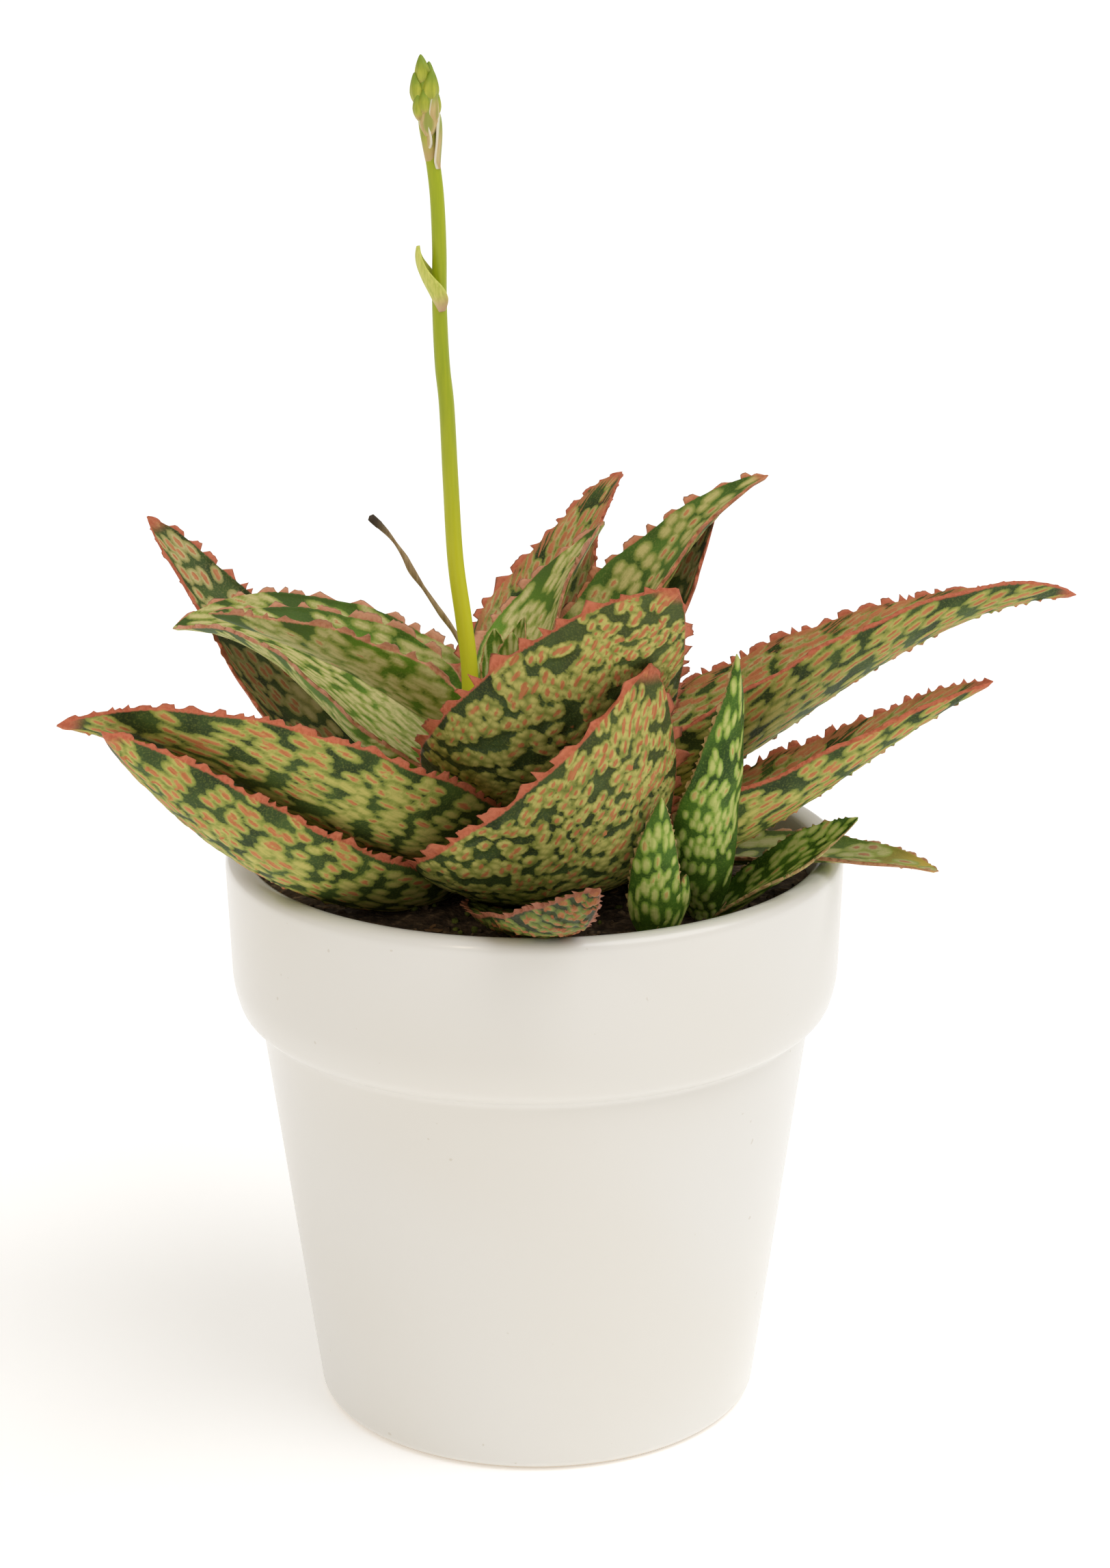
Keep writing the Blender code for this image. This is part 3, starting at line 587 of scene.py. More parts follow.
def leaf_mesh(name, leaf, middle, settings, seed, out=None, step=None):
    """One leaf's closed skin, with its markings stored on its points."""
    draw = random.Random(seed)
    step = (step or settings.mesh_step) / MM * leaf.coarse
    rows = max(16, int(leaf.length / step))
    # The grid's columns run round the section: right tooth, upper face, left tooth and back,
    # lower face, right tooth. t goes across the leaf, e out along a tooth.
    t = np.linspace(-1, 1, max(10, int(leaf.width / step)) + 1)
    strip = (1.0, 0.66, 0.33)
    column_t = np.concatenate([[-1] * 3, t, [1] * 5, t[::-1], [-1] * 3])
    column_e = np.concatenate([strip, 0 * t, strip[::-1], strip[1:], 0 * t, strip[::-1]])
    column_face = (np.arange(len(column_t)) >= len(t) + 6) * 1.0
    columns = len(column_t) - 1
    mesh, column, row = unit_grid(columns, rows)

    # Along the leaf
    s, points, upper, side = leaf_spine(leaf, leaf_start(leaf, middle, out), rows + 1)
    along, half = s * leaf.length, half_width(leaf, s)
    greatest = min(0.125 * leaf.width, settings.thickness / MM)
    thick = np.maximum(greatest * (1 - s) ** 0.6 * np.minimum(1.0, 0.62 + 1.9 * s), 0.6)
    thick = thick * np.clip((1 - s) / 0.012, 0.12, 1)
    arc_half = np.radians(leaf.channel * (1 - 0.38 * s))
    teeth = [worn * tooth_line(along, leaf.length, SKINS[leaf.skin].teeth, settings, draw)
             for worn in leaf.worn]
    waves = [0.35 * np.sin(along * 0.31 + draw.uniform(0, 6)) for _ in leaf.worn]

    # On every point: the place on the skin and the markings there
    pt, pe, pf, at, wide = (column_t[column], column_e[column], column_face[column],
                            along[row], half[row])
    across = pt * wide
    tooth, ripple = [np.where(pt > 0, left[row], right[row]) for right, left in (teeth, waves)]
    spot, dash, relief, prickle = [np.full(len(pt), fill) for fill in (OUTSIDE, OUTSIDE, 0.0, 0.0)]
    for face, look in zip((1, 0), MARKINGS.get(leaf.skin, ())):
        mine = pf == face
        spots = place_spots(leaf, look, draw)
        here = drifted(at[mine], across[mine], look.drift, draw)
        spot[mine], dash[mine] = spot_fields(*here, spots, look.core)
        relief[mine] = look.relief
    for point_at, point_side, size in prickles(leaf, draw):
        away = ((at - point_at) ** 2 + (across - point_side) ** 2) / size ** 2
        bump = np.clip(1 - away, 0, 1) * (pf == 1) * (pe == 0)
        prickle = np.maximum(prickle, bump * size)
    dash = np.maximum(dash, np.where(prickle > 0, prickle * 1.6 - 0.4, OUTSIDE))
    spot, dash = np.clip(spot, OUTSIDE, 1), np.clip(dash, OUTSIDE, 1)
    edge = wide * (1 - np.abs(pt)) - pe * (tooth + 0.25)

    # The flesh, a margin that stays thick, a low bead along it, and spots that stand up. All
    # of it thins out where the leaf narrows.
    narrowing = np.clip(wide / 4, 0.15, 1)
    body = thick[row] * (1 - pt ** 2) ** 0.7
    rim = MARGIN * np.abs(pt) ** 8 * narrowing
    bead = 0.2 * np.exp(-((edge - 0.1) / 0.45) ** 2) * np.clip(wide / 5, 0, 1)
    lift = relief * np.clip(spot + 0.15, 0, 0.7) * np.clip(edge / 1.2, 0, 1)
    lift += 0.1 * np.clip(dash + 0.3, 0, 0.8) * (pe == 0)
    lift = lift * np.clip(wide / 3, 0.2, 1) + 0.75 * prickle + bead
    bend = (half / arc_half)[row]
    reach = bend + np.where(pf == 1, body + rim * (1 - pe) + lift, -lift)
    angle = pt * arc_half[row]
    sin, cos = np.sin(angle)[:, None], np.cos(angle)[:, None]
    outward = side[row] * sin - upper[row] * cos
    tangent = (side[row] * cos + upper[row] * sin) * np.sign(pt)[:, None]
    place = points[row] + upper[row] * bend[:, None] + outward * reach[:, None]
    place += tangent * (pe * tooth)[:, None]
    place += outward * (0.1 * pe * tooth * np.sin(at * 1.7))[:, None]
    place -= upper[row] * (ripple * np.abs(pt) ** 3 * np.sin(math.pi * s[row]))[:, None]
    # The two faces meet halfway through the margin, and the last column on the first
    seam = (pe == 1.0) & (pf == 0)
    place[seam] += (outward * (MARGIN / 2 * narrowing)[:, None])[seam]
    first_place = np.zeros((rows + 1, 3))
    first_place[row[column == 0]] = place[column == 0]
    place[column == columns] = first_place[row[column == columns]]

    for label, values in zip(STORED, (spot, dash, edge, s[row], pf)):
        store(mesh, label, values)
    # The map has the two faces side by side, in tenths of a metre
    corner = np.empty(len(mesh.loops), dtype=np.int32)
    mesh.loops.foreach_get("vertex_index", corner)
    flat = np.stack([across / 100 + pf * 0.7, at / 100], -1)[corner]
    mesh.uv_layers.new(name="skin").data.foreach_set("uv", flat.astype(np.float32).ravel())
    return skin_object(name, mesh, place)


def leaf_material(skin, settings):
    """Fleshy aloe skin: a waxy cuticle with a soft, wide sheen, fine lengthwise streaks and
    a pebbled surface. Spots and dashes come from the values stored on the points."""
    look = SKINS[skin]
    if look.name in bpy.data.materials:
        return bpy.data.materials[look.name]
    material, tree = new_material(look.name)
    tints = [settings.ground] * 2 + [settings.spots] * 3 + [settings.coral] * 2
    deep, ground_tone, rim_tone, spot_tone, cream, dash_tone, margin_tone = [
        toned(linear(tone), *tint[:3]) for tone, tint in zip(look.tones.split(), tints)]
    spot, dash, edge, along, face = [
        node(tree, "Attribute", out="Fac", attribute_name=label) for label in STORED]
    skin_map = node(tree, "UVMap", uv_map="skin")
    place = node(tree, "TexCoord", out="Object")
    # streaks 0.5 mm wide and about 6 mm long, in the map's tenths of a metre
    stretched = node(tree, "Mapping", Vector=skin_map, Scale=(200.0, 16.0, 1.0))
    streak = node(tree, "TexNoise", Vector=stretched, Scale=1.0, Detail=3.0)
    # ragged outlines 0.8 mm across, uneven tone over 9 mm, and a fine mottle 0.4 mm across
    wobble, patch, mottle = [node(tree, "TexNoise", Vector=place, Scale=scale, Detail=2.5)
                             for scale in (1200.0, 110.0, 2400.0)]
    shake = node(tree, "Math", (wobble, 0.5), operation="SUBTRACT")
    ragged_spot, ragged_dash, ragged_edge = [
        node(tree, "Math", (shake, amount, value), operation="MULTIPLY_ADD")
        for value, amount in ((spot, 1.0), (dash, 1.9), (edge, 0.9))]
    if skin == "beaded":
        # round beads 1.9 mm apart, packed wherever the point values mark a cluster, and more
        # closely towards the tip. Each bead's colour runs from a pale middle out to a darker edge:
        # partly the beads' own colour, partly painted shade that makes them look domed
        cell = node(tree, "TexVoronoi", voronoi_dimensions="2D", Vector=skin_map, Scale=52.0)
        packed = node(tree, "Math", (ragged_spot, 0.35), operation="MINIMUM")
        packed = node(tree, "Math", (packed, 1.7, 0.3), operation="MULTIPLY_ADD")
        packed = node(tree, "Math", (along, 0.35, packed), operation="MULTIPLY_ADD")
        ragged_spot = node(tree, "Math", (cell, -1.4, packed), operation="MULTIPLY_ADD")
        # their coral grows from none at mid length to most of each bead at the tip
        ragged_dash = node(tree, "Math", (ragged_dash, 0.7), operation="SUBTRACT")
        ragged_dash = node(tree, "Math", (along, 1.35, ragged_dash), operation="MULTIPLY_ADD")
    # the coloured line is 0.3 mm narrower on the upper face
    from_edge = node(tree, "Math", (face, -0.3, ragged_edge), operation="MULTIPLY_ADD")

    # the ground, with what the leaf's age and light do to it from foot to tip
    aged = {"pale": ((linear("#3E4A20"), along, 0.66, 0.42, 0.85),
                     (linear("#CDB254"), along, 0.74, 1.0, 1.0)),
            "young": ((linear("#455A26"), along, 0.4, 0.8, 0.85),),
            "beaded": ((rim_tone, along, 0.5, 0.9, 0.15),)}
    ground = layered(tree, deep, (ground_tone, patch, 0.3, 0.7, 1.0),
                     (rim_tone, mottle, 0.45, 0.75, 0.3), *aged.get(skin, ()))
    middle = node(tree, "Mix", {0: face, 6: cream, 7: spot_tone}, 2, data_type="RGBA")
    middle = layered(tree, middle, (toned(cream, 0.95, 1.04, 1.08), along, 0.3, 0.08, 0.7),
                     (rim_tone, streak, 0.42, 0.75, 0.45))
    dashes = layered(tree, toned(dash_tone, 1.06, 1.12, 1.12),
                     (toned(dash_tone, 0.86, 0.72, 0.64), streak, 0.35, 0.7, 1.0))
    margins = layered(tree, toned(margin_tone, 0.84, 0.72, 0.66),
                      (margin_tone, wobble, 0.35, 0.6, 1.0),
                      (toned(margin_tone, 1.08, 1.18, 1.22), edge, -0.3, -1.6, 0.7))
    # each spot runs over a wide ramp from its rim tone to its pale middle: the spots' own green
    # rims and paler middles, and painted shade that makes them look domed
    colour = layered(tree, ground, (rim_tone, ragged_spot, -0.3 - look.soft, 0.15, 1.0),
                     (middle, ragged_spot, 0.0, 0.95, 1.0),
                     (dashes, ragged_dash, -0.35, 0.6, 0.9))
    if skin == "old":
        # coral streaks that fade out 3 mm in from the margin, on the upper face alone
        inward = node(tree, "Math", (face, 20.0, edge), operation="MULTIPLY_ADD")
        inward = node(tree, "Math", (streak, -13.0, inward), operation="MULTIPLY_ADD")
        colour = layered(tree, colour, (toned(dash_tone, 1.1, 1.25, 1.3), inward, -4.6, -6.0,
                                        0.75))
    line = settings.margin_width / MM * look.line - 0.3
    colour = layered(tree, colour, (margins, from_edge, line, line - 0.45, 0.95))
    if skin in ("old", "ringed", "beaded", "half_grown"):
        colour = layered(tree, colour, (margins, along, 0.95, 0.985, 0.9))

    # pebbled cuticle, streaks, and the swell of each spot
    height = node(tree, "Math", (streak, 0.8, mottle), operation="MULTIPLY_ADD")
    height = node(tree, "Math", (ragged_spot, look.swell, height), operation="MULTIPLY_ADD")
    gloss = node(tree, "MapRange", (streak, 0.3, 0.75, 0.48, 0.64))
    shade(tree, (height, 0.4, 0.15), Base_Color=colour, Roughness=gloss, IOR=1.4,
          Specular_IOR_Level=0.26)
    return material


class ALOE_OT_rosette(bpy.types.Operator):
    """Replace the rosette's plain leaves with toothed and spotted ones"""
    bl_idname = "aloe.rosette"
    bl_label = "Rosette Leaves"

    def execute(self, context):
        settings = context.scene.aloe_leaf
        for number, (name, leaf) in enumerate(ROSETTE.items()):
            obj = leaf_mesh(name + "_skin", leaf, STEM, settings, 40 + number)
            finish_piece(obj, leaf_material(leaf.skin, settings), name)
        return {"FINISHED"}


def small_rosette(name, leaves, settings, seed, middle, out, core_radius, core_foot, core_top):
    """A few small leaves, rooted out from the middle of a short stem, in mm."""
    pieces = [leaf_mesh("part", leaf, middle, settings, seed + number, out, FINE_STEP)
              for number, leaf in enumerate(leaves)]
    bm = bmesh.new()
    bmesh.ops.create_cone(bm, cap_ends=True, segments=24, radius1=core_radius * MM,
                          radius2=core_radius * 0.8 * MM, depth=(core_top - core_foot) * MM)
    bmesh.ops.translate(bm, verts=bm.verts, vec=(middle[0] * MM, middle[1] * MM,
                                                 (core_foot + core_top) / 2 * MM))
    obj = join(name + "_skin", pieces + [mesh_object("part", bm)])
    finish_piece(obj, leaf_material(leaves[0].skin, settings), name)


class ALOE_OT_heart(bpy.types.Operator):
    """Replace the tuft of the youngest leaves"""
    bl_idname = "aloe.heart"
    bl_label = "Heart Leaves"

    def execute(self, context):
        small_rosette("heart_leaves", HEART, context.scene.aloe_leaf, 90, (-7.2, 0.0), out=1.6,
                      core_radius=3.0, core_foot=156.9, core_top=160.0)
        return {"FINISHED"}


class ALOE_OT_offsets(bpy.types.Operator):
    """Replace the two offsets at the rosette's foot"""
    bl_idname = "aloe.offsets"
    bl_label = "Offsets"

    def execute(self, context):
        settings = context.scene.aloe_leaf
        for name, leaves, seed, middle, radius in (
                ("offset_tall", OFFSET_TALL, 110, (36.0, -27.0), 4.2),
                ("offset_small", OFFSET_SMALL, 120, (25.0, -42.0), 3.4)):
            small_rosette(name, leaves, settings, seed, middle, out=1.5,
                          core_radius=radius, core_foot=110.0, core_top=119.0)
        return {"FINISHED"}


class ALOE_OT_stem(bpy.types.Operator):
    """Give the short main stem its pale green skin"""
    bl_idname = "aloe.stem"
    bl_label = "Stem"

    def execute(self, context):
        # Succulent stem between clasping leaf bases: matte, fibrous, pale green. Its fibres
        # are about 1.4 mm apart and 8 mm long.
        material, tree = new_material("aloe_stem_skin")
        fibre = fibres(tree, node(tree, "TexCoord", out="Object"), 700.0, 120.0)
        colour = layered(tree, linear("#4C5A2C"), (linear("#8F9A66"), fibre, 0.3, 0.7, 1.0))
        shade(tree, (fibre, 0.4, 0.3), Base_Color=colour, Roughness=0.6)
        dress_node("stem", material)
        return {"FINISHED"}


# Pot and soil

def rounded(points, steps=6):
    """Replace each inner corner, given with a radius, by a short smooth curve."""
    path = [points[0][:2]]
    for (x0, y0, _), (x1, y1, r), (x2, y2, _) in zip(points, points[1:], points[2:]):
        corner = Vector((x1, y1))
        before = Vector((x0, y0)) - corner
        after = Vector((x2, y2)) - corner
        reach = min(r, before.length * 0.49, after.length * 0.49)
        first = corner + before.normalized() * reach
        last = corner + after.normalized() * reach
        for i in range(steps + 1):
            t = i / steps
            path.append(tuple(first * (1 - t) ** 2 + corner * 2 * t * (1 - t) + last * t * t))
    path.append(points[-1][:2])
    return path


class ALOE_OT_pot(bpy.types.Operator):
    """Turn the glazed pot from its rounded profile"""
    bl_idname = "aloe.pot"
    bl_label = "Glazed Pot"

    def execute(self, context):
        settings = context.scene.aloe_pot
        rim, lip = settings.rim_radius / MM, settings.lip_radius / MM
        # Radius, height and rounding in mm: outside from the foot up, then inside down
        corners = ((0, 0, 0), (47.4, 0, 0.6), (48.9, 1.5, 1.6), (60.6, 89.3, 1.4),
                   (64.7, 91.6, 3.0), (rim - 1.05, 97.6, 4.0), (rim, 126.8, lip * 1.2),
                   (rim - 6.0, 126.8, 2.9), (rim - 6.3, 118.0, 4.0), (60.3, 99.0, 4.0),
                   (55.5, 90.0, 5.0), (43.8, 6.2, 3.0), (0, 6.0, 0))
        bm = bmesh.new()
        path = [bm.verts.new((x * MM, 0.0, z * MM)) for x, z in rounded(corners)]
        rims = [bm.edges.new(pair) for pair in zip(path, path[1:])]
        bmesh.ops.subdivide_edges(bm, edges=[e for e in rims if e.calc_length() > 8 * MM], cuts=5)
        bmesh.ops.spin(bm, geom=list(bm.verts) + list(bm.edges), cent=(0, 0, 0), axis=(0, 0, 1),
                       angle=2 * math.pi, steps=144, use_merge=True)
        bmesh.ops.remove_doubles(bm, verts=bm.verts, dist=0.005 * MM)
        bmesh.ops.recalc_face_normals(bm, faces=bm.faces)

        # White earthenware under a satin glaze: soft wide gloss, tone that drifts over 45 mm,
        # rare specks 2 mm apart, and a warm unglazed line round the foot
        material, tree = new_material("glazed_earthenware")
        place = node(tree, "TexCoord", out="Object")
        height = node(tree, "SeparateXYZ", (place,), "Z")
        glaze = tuple(settings.glaze)
        cloud = node(tree, "TexNoise", Vector=place, Scale=22.0, Detail=0.0)
        speck = node(tree, "TexNoise", Vector=place, Scale=420.0, Detail=1.0)
        colour = layered(tree, glaze, (toned(glaze, 0.985, 0.975, 0.955), cloud, 0.3, 0.7, 1.0),
                         (toned(glaze, 0.72, 0.66, 0.56), speck, 0.78, 0.82, 0.45),
                         (linear("#C9B594"), height, 1.0 * MM, 0.3 * MM, 0.8))
        shade(tree, Base_Color=colour, Roughness=0.3, IOR=1.5, Coat_Weight=0.4,
              Coat_Roughness=0.1)
        finish_piece(mesh_object("pot_glazed", bm), material, "pot")
        return {"FINISHED"}


def soil_material(name, dark, light, grain):
    """Damp potting soil, bark or moss: rough and crumbly, with paler fibres. Its grain is in
    mm."""
    material, tree = new_material(name)
    place = node(tree, "TexCoord", out="Object")
    crumbs = node(tree, "TexVoronoi", Vector=place, Scale=1000 / grain)
    cloud = node(tree, "TexNoise", Vector=place, Scale=400 / grain, Detail=5.0)
    height = node(tree, "Math", (cloud, 0.8, crumbs), operation="MULTIPLY_ADD")
    colour = layered(tree, toned(dark, 0.45, 0.45, 0.45),
                     (tuple(dark), cloud, 0.3, 0.6, 1.0), (light, cloud, 0.52, 0.7, 0.85))
    shade(tree, (height, 0.8, grain * 0.4), Base_Color=colour, Roughness=0.92)
    return material


def soil_level(x, y):
    """Height in mm of the crumbly soil at a place in mm."""
    spot = Vector((x, y, 0.0))
    lumps = noise.noise(spot * 0.09) * 1.1 + noise.noise(spot * 0.33) * 0.8
    return SOIL_TOP + 1.0 + lumps + abs(noise.noise(spot * 0.9)) * 0.9


class ALOE_OT_soil(bpy.types.Operator):
    """Crumble the soil's surface and scatter crumbs, bark and a small stone on it"""
    bl_idname = "aloe.soil"
    bl_label = "Soil"

    def execute(self, context):
        settings = context.scene.aloe_soil
        earth = soil_material("damp_potting_soil", settings.dark, linear("#90785A"), 0.9)
        dress_node("soil", earth)
        bm = bmesh.new()
        bmesh.ops.create_grid(bm, x_segments=92, y_segments=92,
                              size=(SOIL_RADIUS + 0.4) * MM)
        outside = [v for v in bm.verts if v.co.xy.length > SOIL_RADIUS * MM]
        bmesh.ops.delete(bm, geom=outside, context="VERTS")
        for vert in bm.verts:
            x, y = vert.co.x / MM, vert.co.y / MM
            fall = max(0.0, math.hypot(x, y) - 56.0) * 0.25
            vert.co.z = (soil_level(x, y) - fall) * MM
        skirt = bmesh.ops.extrude_face_region(bm, geom=list(bm.faces))
        for vert in skirt["geom"]:
            if isinstance(vert, bmesh.types.BMVert):
                vert.co.z = (SOIL_TOP - 1.2) * MM
        bmesh.ops.recalc_face_normals(bm, faces=bm.faces)
        finish_piece(mesh_object("soil_crust", bm), earth)
        self.scatter(settings, earth)
        self.stone()
        return {"FINISHED"}

    def scatter(self, settings, earth):
        """Crumbs of soil, every seventh one a flat chip of bark and some of them moss."""
        draw = random.Random(5)
        bark = soil_material("bark_chips", settings.bark, linear("#8A7152"), 1.4)
        moss = soil_material("moss_crumbs", settings.moss, linear("#8B9440"), 0.5)
        crumbs, chips, tufts = bmesh.new(), bmesh.new(), bmesh.new()
        for number in range(CRUMB_COUNT):
            spread = CRUMB_REACH * math.sqrt(draw.random())
            heading = draw.uniform(0, 2 * math.pi)
            x, y = spread * math.cos(heading), spread * math.sin(heading)
            is_chip = number % 7 == 0
            size = settings.crumb / MM * draw.uniform(0.35, 1.3)
            target = chips if is_chip else tufts if number % 5 == 1 else crumbs
            made = bmesh.ops.create_icosphere(target, subdivisions=1, radius=size / 2 * MM)
            verts = made["verts"]
            if is_chip:
                tilt = 0.35
                stretch = (draw.uniform(1.4, 3.2), draw.uniform(0.7, 1.3), draw.uniform(0.25, 0.5))
            else:
                tilt = 3.0
                stretch = (draw.uniform(0.8, 1.4), 1.0, draw.uniform(0.6, 1.0))
            for vert in verts:
                vert.co *= 1 + 0.3 * noise.noise(vert.co * 900 + Vector((number, 0, 0)))
            turn = (Matrix.Rotation(draw.uniform(-tilt, tilt), 3, "X")
                    @ Matrix.Rotation(draw.uniform(0, 6.28), 3, "Z"))
            lift = soil_level(x, y) + size * 0.15
            bmesh.ops.scale(target, verts=verts, vec=stretch)
            bmesh.ops.rotate(target, verts=verts, matrix=turn)
            bmesh.ops.translate(target, verts=verts, vec=(x * MM, y * MM, lift * MM))
        for name, bm, material in (("soil_crumbs", crumbs, earth), ("bark_chips", chips, bark),
                                   ("moss_crumbs", tufts, moss)):
            finish_piece(mesh_object(name, bm), material, smooth=bm is not chips)

    def stone(self):
        # Pale grey stone by the right-hand offset: matte limestone, mottled over 1 mm
        material, tree = new_material("grey_limestone")
        place = node(tree, "TexCoord", out="Object")
        cloud = node(tree, "TexNoise", Vector=place, Scale=900.0, Detail=4.0)
        colour = layered(tree, linear("#77736E"), (linear("#A9A49C"), cloud, 0.3, 0.7, 1.0))
        shade(tree, Base_Color=colour, Roughness=0.8)
        bm = bmesh.new()
        made = bmesh.ops.create_icosphere(bm, subdivisions=3, radius=1.3 * MM)
        for vert in made["verts"]:
            vert.co *= 1 + 0.25 * noise.noise(vert.co * 1400)
        bmesh.ops.scale(bm, verts=bm.verts, vec=(1.3, 0.9, 0.8))
        bmesh.ops.translate(bm, verts=bm.verts, vec=(47.5 * MM, -30.0 * MM, 120.2 * MM))
        finish_piece(mesh_object("small_stone", bm), material)


# Flower spike and dry stalk

def smooth_path(points, count):
    """Even points on a smooth curve through the given ones, and the run to each."""
    p = np.array(points, float)
    padded = np.vstack([2 * p[0] - p[1], p, 2 * p[-1] - p[-2]])[:, None]
    a, b, c, d = padded[:-3], padded[1:-2], padded[2:-1], padded[3:]
    t = np.linspace(0, 1, 12, endpoint=False)[:, None]
    fine = 0.5 * (2 * b + (c - a) * t + (2 * a - 5 * b + 4 * c - d) * t * t
                  + (3 * b - 3 * c + d - a) * t ** 3)
    fine = np.vstack([fine.reshape(-1, 3), p[-1]])
    run = np.concatenate([[0], np.cumsum(np.linalg.norm(np.diff(fine, axis=0), axis=1))])
    even = np.linspace(0, run[-1], count)
    return np.stack([np.interp(even, run, fine[:, k]) for k in range(3)], -1), even


def swept(name, points, rows, columns, radius_at):
    """A closed rod along a smooth path. radius_at(part, angle, run) is its radius in mm."""
    path, run = smooth_path(points, rows + 1)
    mesh, column, row = unit_grid(columns, rows)
    ahead = np.gradient(path, axis=0)
    ahead /= np.linalg.norm(ahead, axis=1)[:, None]
    beside = np.cross(ahead, (0.0, -1.0, 0.0))
    beside /= np.linalg.norm(beside, axis=1)[:, None]
    above = np.cross(beside, ahead)
    angle = 2 * math.pi * (column % columns) / columns
    part = row / rows
    radius = radius_at(part, angle, run[row]) * ((row > 0) & (row < rows))
    spoke = beside[row] * np.cos(angle)[:, None] + above[row] * np.sin(angle)[:, None]
    store(mesh, "along", part)
    return skin_object(name, mesh, path[row] + spoke * radius[:, None])


def plant_material(name, low, high, fine, rough, *layers):
    """Smooth living or dry plant skin with lengthwise fibres, fine of them to the metre and
    14 times as long as wide."""
    material, tree = new_material(name)
    fibre = fibres(tree, node(tree, "TexCoord", out="Object"), fine, fine / 14)
    colour = layered(tree, low, (high, fibre, 0.3, 0.7, 1.0), *layers)
    shade(tree, (fibre, 0.3, 0.15), Base_Color=colour, Roughness=rough, IOR=1.4)
    return material


def bract(heading, base, rise, length, width, settings, seed, channel=70):
    leaf = Leaf(base[2], (heading, heading), rise, length, width, channel, 0, "bract")
    return leaf_mesh("bract", leaf, base[:2], settings, seed, out=0.0, step=BRACT_STEP)


class ALOE_OT_flower_stalk(bpy.types.Operator):
    """Replace the fresh stalk and its side bract"""
    bl_idname = "aloe.flower_stalk"
    bl_label = "Flower Stalk"

    def execute(self, context):
        fresh = tuple(context.scene.aloe_flower.stalk)
        # Fresh green flower stalk: taut skin with a soft satin shine, and painted light that makes
        # it brighter and yellower towards its foot
        skin = plant_material("fresh_stalk_skin", toned(fresh, 0.84, 0.9, 0.75), fresh, 1400.0,
                              0.38, (toned(fresh, 2.15, 1.85, 4.0), "along", 0.62, 0.1, 0.9))
        stalk = swept("flower_stalk_skin", SPIKE_PATH, 150, 28, lambda part, angle, run:
                      (1.85 - 0.4 * part) * (1 + 0.02 * np.sin(3 * angle + 0.05 * run)))
        finish_piece(stalk, skin, "flower_stalk")
        # Papery bract: thin, faintly pink at its foot
        papery = plant_material("papery_bract_skin", linear("#BFC654"), linear("#DAD974"),
                                1800.0, 0.5, (linear("#D0A98C"), "along", 0.3, 0.0, 0.9))
        side = bract(*SIDE_BRACT, context.scene.aloe_leaf, 201, channel=84)
        finish_piece(side, papery, "flower_stalk")
        return {"FINISHED"}


class ALOE_OT_flower_head(bpy.types.Operator):
    """Replace the cluster of closed buds and its bracts"""
    bl_idname = "aloe.flower_head"
    bl_label = "Flower Head"

    def execute(self, context):
        colours = context.scene.aloe_flower
        # Closed buds: smooth waxy skin, striped lengthwise, tan at the foot, green at the tip
        waxy = plant_material("closed_bud_skin", linear("#98A22E"), tuple(colours.bud), 1500.0,
                              0.4, (linear("#C6A274"), "along", 0.36, 0.05, 0.75),
                              (linear("#7C962A"), "along", 0.55, 0.95, 0.85))
        core = swept("flower_head_core", HEAD_PATH, 30, 18,
                     lambda part, angle, run: np.interp(part, *HEAD_CORE))
        head = join("flower_head_buds", [core] + [self.bud(*row) for row in BUDS])
        finish_piece(head, waxy, "flower_head")
        # Bracts under the buds: papery, tan and pink with a green keel and glassy edges
        papery = plant_material("head_bract_skin", tuple(colours.bract), linear("#CDBE82"),
                                1800.0, 0.5, (linear("#8CA23A"), "along", 0.4, 0.9, 0.9),
                                (linear("#8E9E38"), "edge", 1.0, 1.7, 0.8),
                                (linear("#F0ECDC"), "edge", 0.5, 0.1, 0.8))
        bracts = [bract(*row, context.scene.aloe_leaf, 300 + number)
                  for number, row in enumerate(HEAD_BRACTS)]
        finish_piece(join("flower_head_bracts", bracts), papery, "flower_head")
        return {"FINISHED"}

    def bud(self, place, radius, tall, lean):
        """A closed bud: full below its middle, pointed above, with six shallow ridges."""
        bm = bmesh.new()
        bmesh.ops.create_uvsphere(bm, u_segments=30, v_segments=18, radius=1.0)
        for vert in bm.verts:
            high = vert.co.z
            ridge = 1 + 0.07 * math.cos(6 * math.atan2(vert.co.y, vert.co.x)) * (1 - high * high)
            point = 1.0 - 0.45 * max(0.0, high) ** 1.3
            vert.co.x *= radius * ridge * point
            vert.co.y *= radius * ridge * point
            vert.co.z *= tall * (0.62 if high > 0 else 0.45)
        bmesh.ops.rotate(bm, verts=bm.verts, matrix=Matrix.Rotation(math.radians(lean), 3, "Y"))
        bmesh.ops.translate(bm, verts=bm.verts, vec=place)
        bmesh.ops.scale(bm, verts=bm.verts, vec=(MM, MM, MM))
        obj = mesh_object("bud", bm)
        store(obj.data, "along", [clamp((vert.co.z / MM - place[2]) / tall + 0.5)
                                  for vert in obj.data.vertices])
        return obj


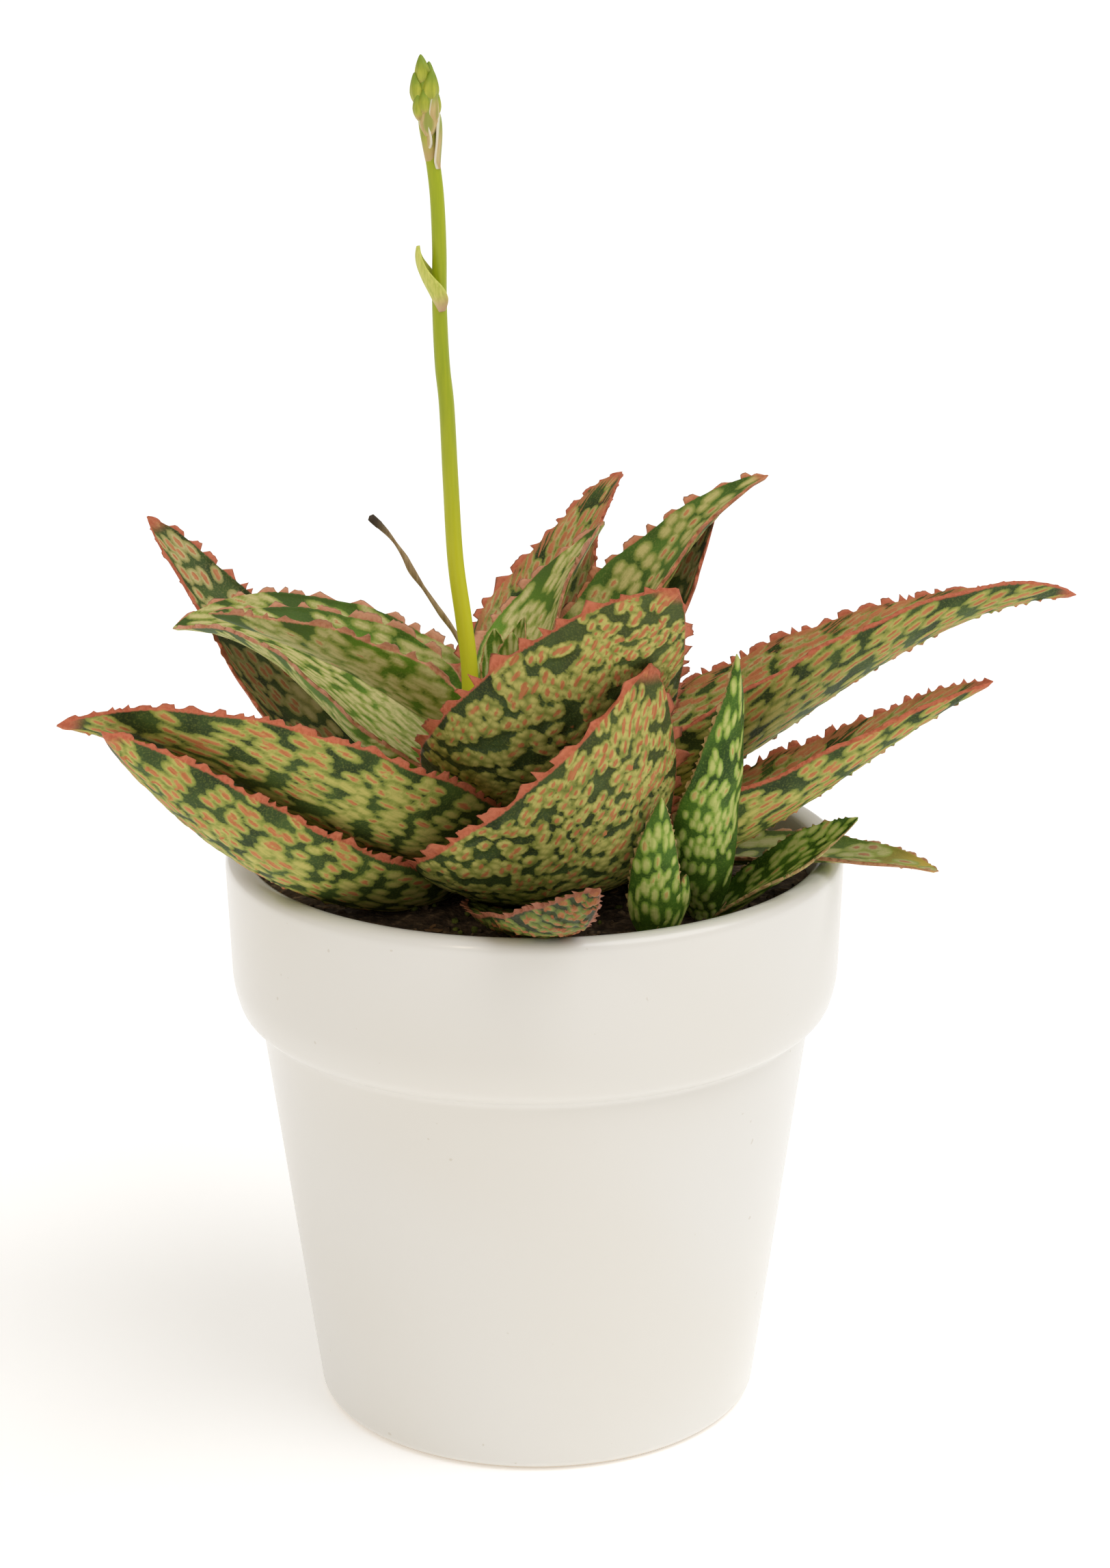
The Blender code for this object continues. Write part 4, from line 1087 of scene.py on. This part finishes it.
class ALOE_OT_dry_stalk(bpy.types.Operator):
    """Replace the withered stalk with a twisted, ridged one"""
    bl_idname = "aloe.dry_stalk"
    bl_label = "Dry Stalk"

    def execute(self, context):
        tan = tuple(context.scene.aloe_flower.dry)
        # Withered stalk: dull, fibrous and shrunken, almost black at its tip
        skin = plant_material("withered_stalk_skin", toned(tan, 0.62, 0.56, 0.5), tan, 1500.0,
                              0.8, (linear("#2E2620"), "along", 0.82, 0.98, 0.92))
        stalk = swept("dry_stalk_skin", DRY_PATH, 120, 16, lambda part, angle, run:
                      (0.56 + 0.1 * np.sin(part * 21) + 0.08 * (part > 0.94))
                      * (1 + 0.22 * np.cos(2 * angle + run * 0.55)))
        finish_piece(stalk, skin, "dry_stalk")
        return {"FINISHED"}


# Studio

def add_light(name, kind, power, colour, ray, **settings):
    """Add a light that shines along a direction."""
    lamp = bpy.data.lights.new(name, kind)
    lamp.energy = power
    lamp.color = linear(colour)[:3]
    for key, value in settings.items():
        setattr(lamp, key, value)
    obj = link_object(name, lamp)
    obj.rotation_euler = Vector(ray).to_track_quat("-Z", "Y").to_euler()
    return obj


class ALOE_OT_studio(bpy.types.Operator):
    """Set up the floor, the soft lights and the camera"""
    bl_idname = "aloe.studio"
    bl_label = "Studio"

    def execute(self, context):
        settings = context.scene.aloe_stage
        bm = bmesh.new()
        bmesh.ops.create_grid(bm, x_segments=1, y_segments=1, size=14.0)
        bmesh.ops.translate(bm, verts=bm.verts, vec=(0.0, 0.0, -0.2 * MM))
        floor = mesh_object("studio_floor", bm)
        # Painted white sweep, lifted to full white as a lightbox does
        paint, tree = new_material("matte_floor_paint")
        shade(tree, Base_Color=tuple(settings.floor), Roughness=0.8, Specular_IOR_Level=0.2,
              Emission_Color=linear("#FFFFFF"), Emission_Strength=settings.floor_glow)
        floor.data.materials.append(paint)

        world = bpy.data.worlds.new("studio_air")
        context.scene.world = world
        world.use_nodes = True
        air = world.node_tree.nodes["Background"]
        air.inputs["Color"].default_value = linear("#FFF9EF")
        air.inputs["Strength"].default_value = settings.air
        context.scene.view_settings.view_transform = "Standard"
        # A broad cool key from above, and a small warm window light at the front left
        add_light("key_light", "SUN", settings.key_power, "#F6F9FF", (-0.66, 0.3, -1.2),
                  angle=math.radians(52))
        window = Vector((-0.75, -1.5, 1.15))
        middle = Vector((0.0, 0.0, 0.14))
        add_light("window_light", "AREA", settings.key_power * 1.8, "#FFEBD2", middle - window,
                  shape="RECTANGLE", size=0.2, size_y=0.6).location = window

        camera = bpy.data.cameras.new("photo_camera")
        camera.sensor_width = 36.0
        camera.lens = 78.94
        context.scene.camera = link_object("photo_camera", camera)
        context.scene.camera.matrix_world = Matrix((
            (0.99999376, 0.00337501, 0.00104629, 0.00527762),
            (0.00003281, 0.28722771, -0.95786233, -0.71590478),
            (-0.00353332, 0.95785639, 0.28722580, 0.35459293),
            (0.0, 0.0, 0.0, 1.0)))
        return {"FINISHED"}


class ALOE_PT_panel(bpy.types.Panel):
    """Lists the pieces of the potted star aloe"""
    bl_idname = "ALOE_PT_panel"
    bl_label = "Star Aloe"
    bl_space_type = "VIEW_3D"
    bl_region_type = "UI"
    bl_category = "Star Aloe"

    def draw(self, context):
        for operator in OPERATORS:
            self.layout.operator(operator.bl_idname)
        for name, group in SETTINGS:
            box = self.layout.box()
            for key in group.__annotations__:
                box.prop(getattr(context.scene, name), key)


OPERATORS = (ALOE_OT_pot, ALOE_OT_soil, ALOE_OT_stem, ALOE_OT_rosette, ALOE_OT_heart,
             ALOE_OT_offsets, ALOE_OT_flower_stalk, ALOE_OT_flower_head, ALOE_OT_dry_stalk,
             ALOE_OT_studio)
SETTINGS = (("aloe_leaf", LeafSettings), ("aloe_pot", PotSettings), ("aloe_soil", SoilSettings),
            ("aloe_flower", FlowerSettings), ("aloe_stage", StageSettings))


def register():
    for name, group in SETTINGS:
        bpy.utils.register_class(group)
        setattr(bpy.types.Scene, name, bpy.props.PointerProperty(type=group))
    for panel_or_operator in OPERATORS + (ALOE_PT_panel,):
        bpy.utils.register_class(panel_or_operator)


def unregister():
    for panel_or_operator in reversed(OPERATORS + (ALOE_PT_panel,)):
        bpy.utils.unregister_class(panel_or_operator)
    for name, group in reversed(SETTINGS):
        delattr(bpy.types.Scene, name)
        bpy.utils.unregister_class(group)


def main():
    register()
    bpy.ops.aloe.pot()
    bpy.ops.aloe.soil()
    bpy.ops.aloe.stem()
    bpy.ops.aloe.rosette()
    bpy.ops.aloe.heart()
    bpy.ops.aloe.offsets()
    bpy.ops.aloe.flower_stalk()
    bpy.ops.aloe.flower_head()
    bpy.ops.aloe.dry_stalk()
    bpy.ops.aloe.studio()


if __name__ == "__main__":
    main()
